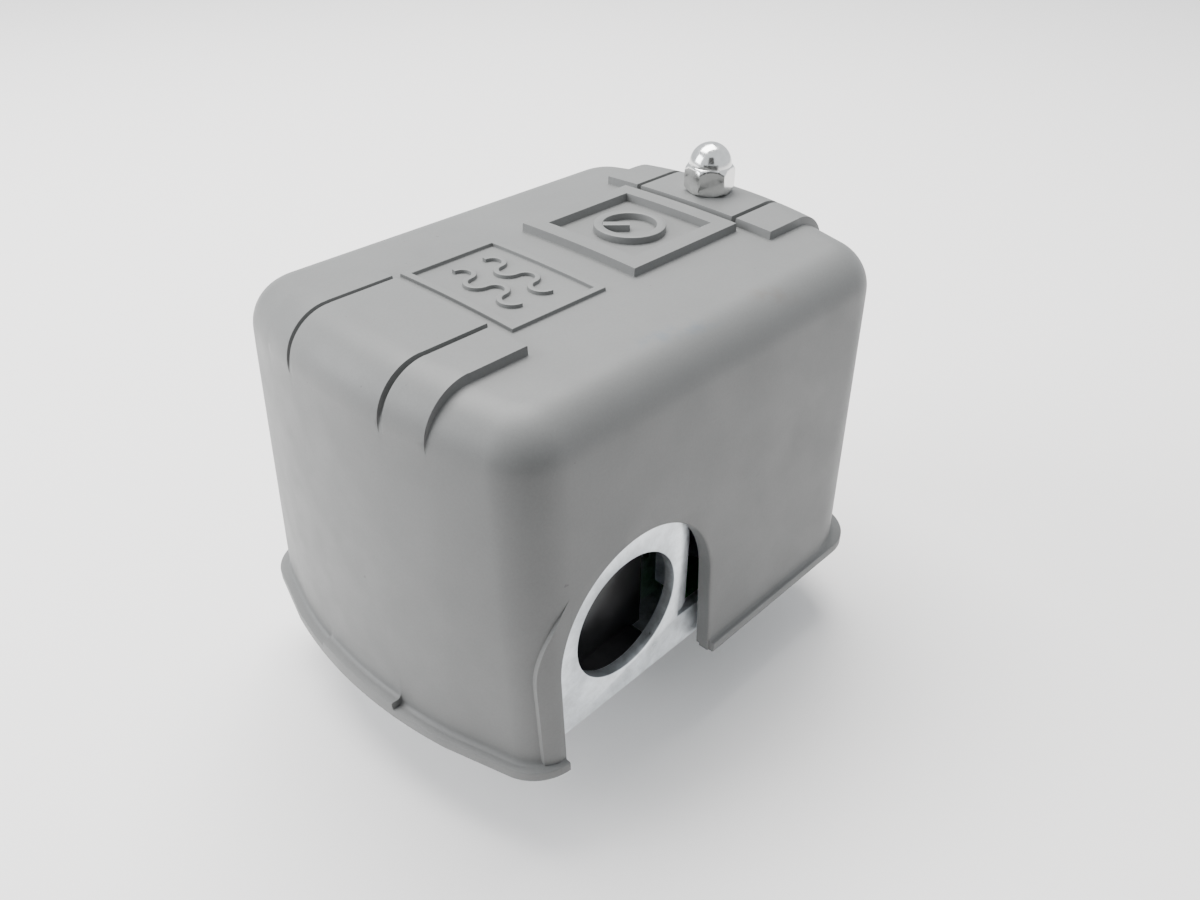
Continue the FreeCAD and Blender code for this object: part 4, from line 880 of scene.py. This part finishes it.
def ramp(nodes, links, value, stops):
    """A colour ramp; stops lists position and colour."""
    item = nodes.new("ShaderNodeValToRGB")
    elements = item.color_ramp.elements
    while len(elements) < len(stops):
        elements.new(0.5)
    for element, (place, colour) in zip(elements, stops):
        element.position = place
        element.color = (*colour, 1) if isinstance(colour, tuple) else (colour, colour, colour, 1)
    links.new(value, item.inputs["Fac"])
    return item.outputs["Color"]


def bump(nodes, links, height, strength, distance, normal=None):
    """A normal tilted by a height of up to the distance, in millimetres."""
    item = nodes.new("ShaderNodeBump")
    item.inputs["Strength"].default_value = strength
    item.inputs["Distance"].default_value = distance * MM
    links.new(height, item.inputs["Height"])
    if normal is not None:
        links.new(normal, item.inputs["Normal"])
    return item.outputs["Normal"]


def mix(nodes, links, factor, first, second):
    """A colour between two; each value is a socket, a colour or a number."""
    item = nodes.new("ShaderNodeMix")
    item.data_type = "RGBA"
    sockets = (item.inputs["Factor"], item.inputs[6], item.inputs[7])
    for socket, value in zip(sockets, (factor, first, second)):
        if isinstance(value, bpy.types.NodeSocket):
            links.new(value, socket)
        elif isinstance(value, tuple):
            socket.default_value = (*value, 1)
        else:
            socket.default_value = value
    return item.outputs[2]


def smudge(nodes, links, place, size, turn):
    """0 to 1 over a soft patch around a place on the object."""
    coordinates = nodes.new("ShaderNodeTexCoord").outputs["Object"]
    mapping = nodes.new("ShaderNodeMapping")
    mapping.vector_type = "TEXTURE"
    mapping.inputs["Location"].default_value = Vector(place) * MM
    mapping.inputs["Rotation"].default_value = (0, 0, math.radians(turn))
    mapping.inputs["Scale"].default_value = Vector(size) * MM
    links.new(coordinates, mapping.inputs["Vector"])
    gradient = nodes.new("ShaderNodeTexGradient")
    gradient.gradient_type = "SPHERICAL"
    links.new(mapping.outputs["Vector"], gradient.inputs["Vector"])
    cloud = noise(nodes, links, 420, 5.0, 0.65)
    product = nodes.new("ShaderNodeMath")
    product.operation = "MULTIPLY"
    links.new(gradient.outputs["Fac"], product.inputs[0])
    links.new(ramp(nodes, links, cloud, [(0.42, 0.0), (0.62, 1.0)]), product.inputs[1])
    return product.outputs[0]


def grey_plastic():
    """Moulded grey plastic: fine grain, faint flow clouding, a few rub marks and specks."""
    material, nodes, links, shader = blank_material("grey_cover", GREY, 0.5)
    cloud = noise(nodes, links, 55, 3.0)
    colour = ramp(nodes, links, cloud, [(0.3, scaled(GREY, 0.93)), (0.7, scaled(GREY, 1.06))])
    fine = noise(nodes, links, 2400, 3.0, 0.7)
    grain = ramp(nodes, links, fine, [(0.3, scaled(GREY, 0.86)), (0.7, scaled(GREY, 1.10))])
    colour = mix(nodes, links, 0.35, colour, grain)
    for place, size, turn, tint in SMUDGES:
        colour = mix(nodes, links, smudge(nodes, links, place, size, turn), colour, tint)
    specks = ramp(nodes, links, noise(nodes, links, 700, 2.0, 0.5), [(0.765, 0.0), (0.79, 0.45)])
    colour = mix(nodes, links, specks, colour, (0.055, 0.052, 0.05))
    links.new(colour, shader.inputs["Base Color"])
    rough = ramp(nodes, links, noise(nodes, links, 130, 4.0), [(0.3, 0.44), (0.7, 0.56)])
    links.new(rough, shader.inputs["Roughness"])
    normal = bump(nodes, links, noise(nodes, links, 3200, 2.0, 0.5), 0.22, 0.05)
    normal = bump(nodes, links, noise(nodes, links, 90, 2.0, 0.5), 0.16, 0.35, normal)
    links.new(normal, shader.inputs["Normal"])
    shader.inputs["Specular IOR Level"].default_value = 0.42
    return material


def zinc():
    """Bright zinc plate: pale blue-white, mottled and stained, with small pits."""
    material, nodes, links, shader = blank_material("zinc_steel", ZINC, 0.26, 0.86)
    mottle = noise(nodes, links, 260, 6.0, 0.7)
    colour = ramp(nodes, links, mottle, [(0.35, scaled(ZINC, 0.76)), (0.65, scaled(ZINC, 1.09))])
    stain = ramp(nodes, links, noise(nodes, links, 95, 3.0, 0.6), [(0.55, 0.0), (0.75, 0.5)])
    colour = mix(nodes, links, stain, colour, tuple(c * f for c, f in zip(ZINC, (0.86, 0.84, 0.80))))
    links.new(colour, shader.inputs["Base Color"])
    links.new(ramp(nodes, links, mottle, [(0.3, 0.26), (0.7, 0.44)]), shader.inputs["Roughness"])
    normal = bump(nodes, links, noise(nodes, links, 1500, 4.0, 0.6), 0.25, 0.03)
    links.new(bump(nodes, links, mottle, 0.22, 0.06, normal), shader.inputs["Normal"])
    return material


def bright_nut():
    """Bright plated acorn nut with fine turning marks round its axis."""
    material, nodes, links, shader = blank_material("bright_nut", (0.70, 0.70, 0.69), 0.16, 1.0)
    mapping = nodes.new("ShaderNodeMapping")
    mapping.inputs["Scale"].default_value = (160, 160, 5200)
    links.new(nodes.new("ShaderNodeTexCoord").outputs["Object"], mapping.inputs["Vector"])
    rings = noise(nodes, links, 1.0, 3.0, 0.6, mapping.outputs["Vector"])
    links.new(bump(nodes, links, rings, 0.10, 0.02), shader.inputs["Normal"])
    wear = noise(nodes, links, 900, 4.0, 0.6)
    links.new(ramp(nodes, links, wear, [(0.35, 0.10), (0.7, 0.27)]), shader.inputs["Roughness"])
    links.new(ramp(nodes, links, wear, [(0.3, (0.66, 0.66, 0.65)), (0.7, (0.76, 0.76, 0.75))]),
              shader.inputs["Base Color"])
    return material


def metal(name, base, low, high, metallic=1.0, relief=0.03):
    """A plated or turned metal with cloudy gloss, from one roughness to another."""
    material, nodes, links, shader = blank_material(name, base, low, metallic)
    cloud = noise(nodes, links, 420, 5.0, 0.6)
    links.new(ramp(nodes, links, cloud, [(0.3, scaled(base, 0.82)), (0.7, scaled(base, 1.08))]),
              shader.inputs["Base Color"])
    links.new(ramp(nodes, links, cloud, [(0.3, low), (0.7, high)]), shader.inputs["Roughness"])
    links.new(bump(nodes, links, noise(nodes, links, 2520, 3.0, 0.6), 0.2, relief), shader.inputs["Normal"])
    return material


def plastic(name, base, low, high):
    """Moulded phenolic or rubber: dark, with fine grain and dusty patches."""
    material, nodes, links, shader = blank_material(name, base, low)
    cloud = noise(nodes, links, 140, 4.0, 0.6)
    links.new(ramp(nodes, links, cloud, [(0.35, base), (0.75, tuple(c * 1.7 + 0.004 for c in base))]),
              shader.inputs["Base Color"])
    links.new(ramp(nodes, links, cloud, [(0.3, low), (0.7, high)]), shader.inputs["Roughness"])
    links.new(bump(nodes, links, noise(nodes, links, 2400, 3.0, 0.6), 0.3, 0.04), shader.inputs["Normal"])
    return material


MATERIALS = {
    "grey_cover": grey_plastic(),
    "zinc_steel": zinc(),
    "bright_nut": bright_nut(),
    "cast_housing": metal("cast_housing", (0.52, 0.53, 0.54), 0.38, 0.55, relief=0.08),
    "rubber": plastic("rubber", (0.022, 0.022, 0.022), 0.6, 0.8),
    "fastener_steel": metal("fastener_steel", (0.62, 0.63, 0.64), 0.22, 0.38),
    "spring_steel": metal("spring_steel", (0.36, 0.36, 0.37), 0.28, 0.42),
    "black_phenolic": plastic("black_phenolic", (0.016, 0.016, 0.017), 0.30, 0.46),
    "brass": metal("brass", (0.74, 0.56, 0.26), 0.24, 0.42),
    "contact_bronze": metal("contact_bronze", (0.72, 0.43, 0.25), 0.26, 0.42),
    "earth_green": metal("earth_green", (0.04, 0.28, 0.09), 0.30, 0.45, metallic=0.6),
}


def paint(item, name):
    """Gives a piece the finish of a material slot."""
    item.data.materials.clear()
    item.data.materials.append(MATERIALS[name])


# ---------------------------------------------------------------- the pieces

cover = make_cover()
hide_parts("cover")
for piece in (cover, make_marks(), make_ribs()):
    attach(piece, "cover")
    paint(piece, "grey_cover")

SLOTS = {part["node"]: part["material_slot"] for part in frame["record"]["subparts"]}
# width of the rounded edges of each refined CAD node, in millimetres
BEVELS = {"base_frame": 0.28, "port_housing": 0.3, "retaining_ring": 0.25, "housing_screws": 0.15,
          "piston": 0.2, "operating_lever": 0.25, "lever_pin": 0.2, "range_stud": 0.3,
          "range_cap": 0.12, "range_nut": 0.12, "differential_stud": 0.25, "stud_locknut": 0.12,
          "spring_washer": 0.1, "differential_cap": 0.1, "differential_nut": 0.12, "contact_block": 0.3,
          "block_screws": 0.12, "line_left_terminal": 0.12, "load_left_terminal": 0.12,
          "load_right_terminal": 0.12, "line_right_terminal": 0.12, "terminal_screws": 0.15,
          "terminal_clamps": 0.15, "moving_contact_left": 0.12, "moving_contact_right": 0.12,
          "contact_carrier": 0.25, "carrier_pivot_pin": 0.15, "earth_screws": 0.15, "diaphragm": 0.2}

paint(make_cover_nut(), SLOTS["cover_nut"])
split_spring("range_spring")
split_spring("differential_spring")
block_sides = make_block_sides()
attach(block_sides, "base")
paint(block_sides, "black_phenolic")

for name, item in frame["nodes"].items():
    if name in ("cover", "cover_nut", "range_spring", "differential_spring"):
        continue
    if name in BEVELS:
        item = refined(name, BEVELS[name])
    paint(item, SLOTS[name])

make_camera()
make_stage()
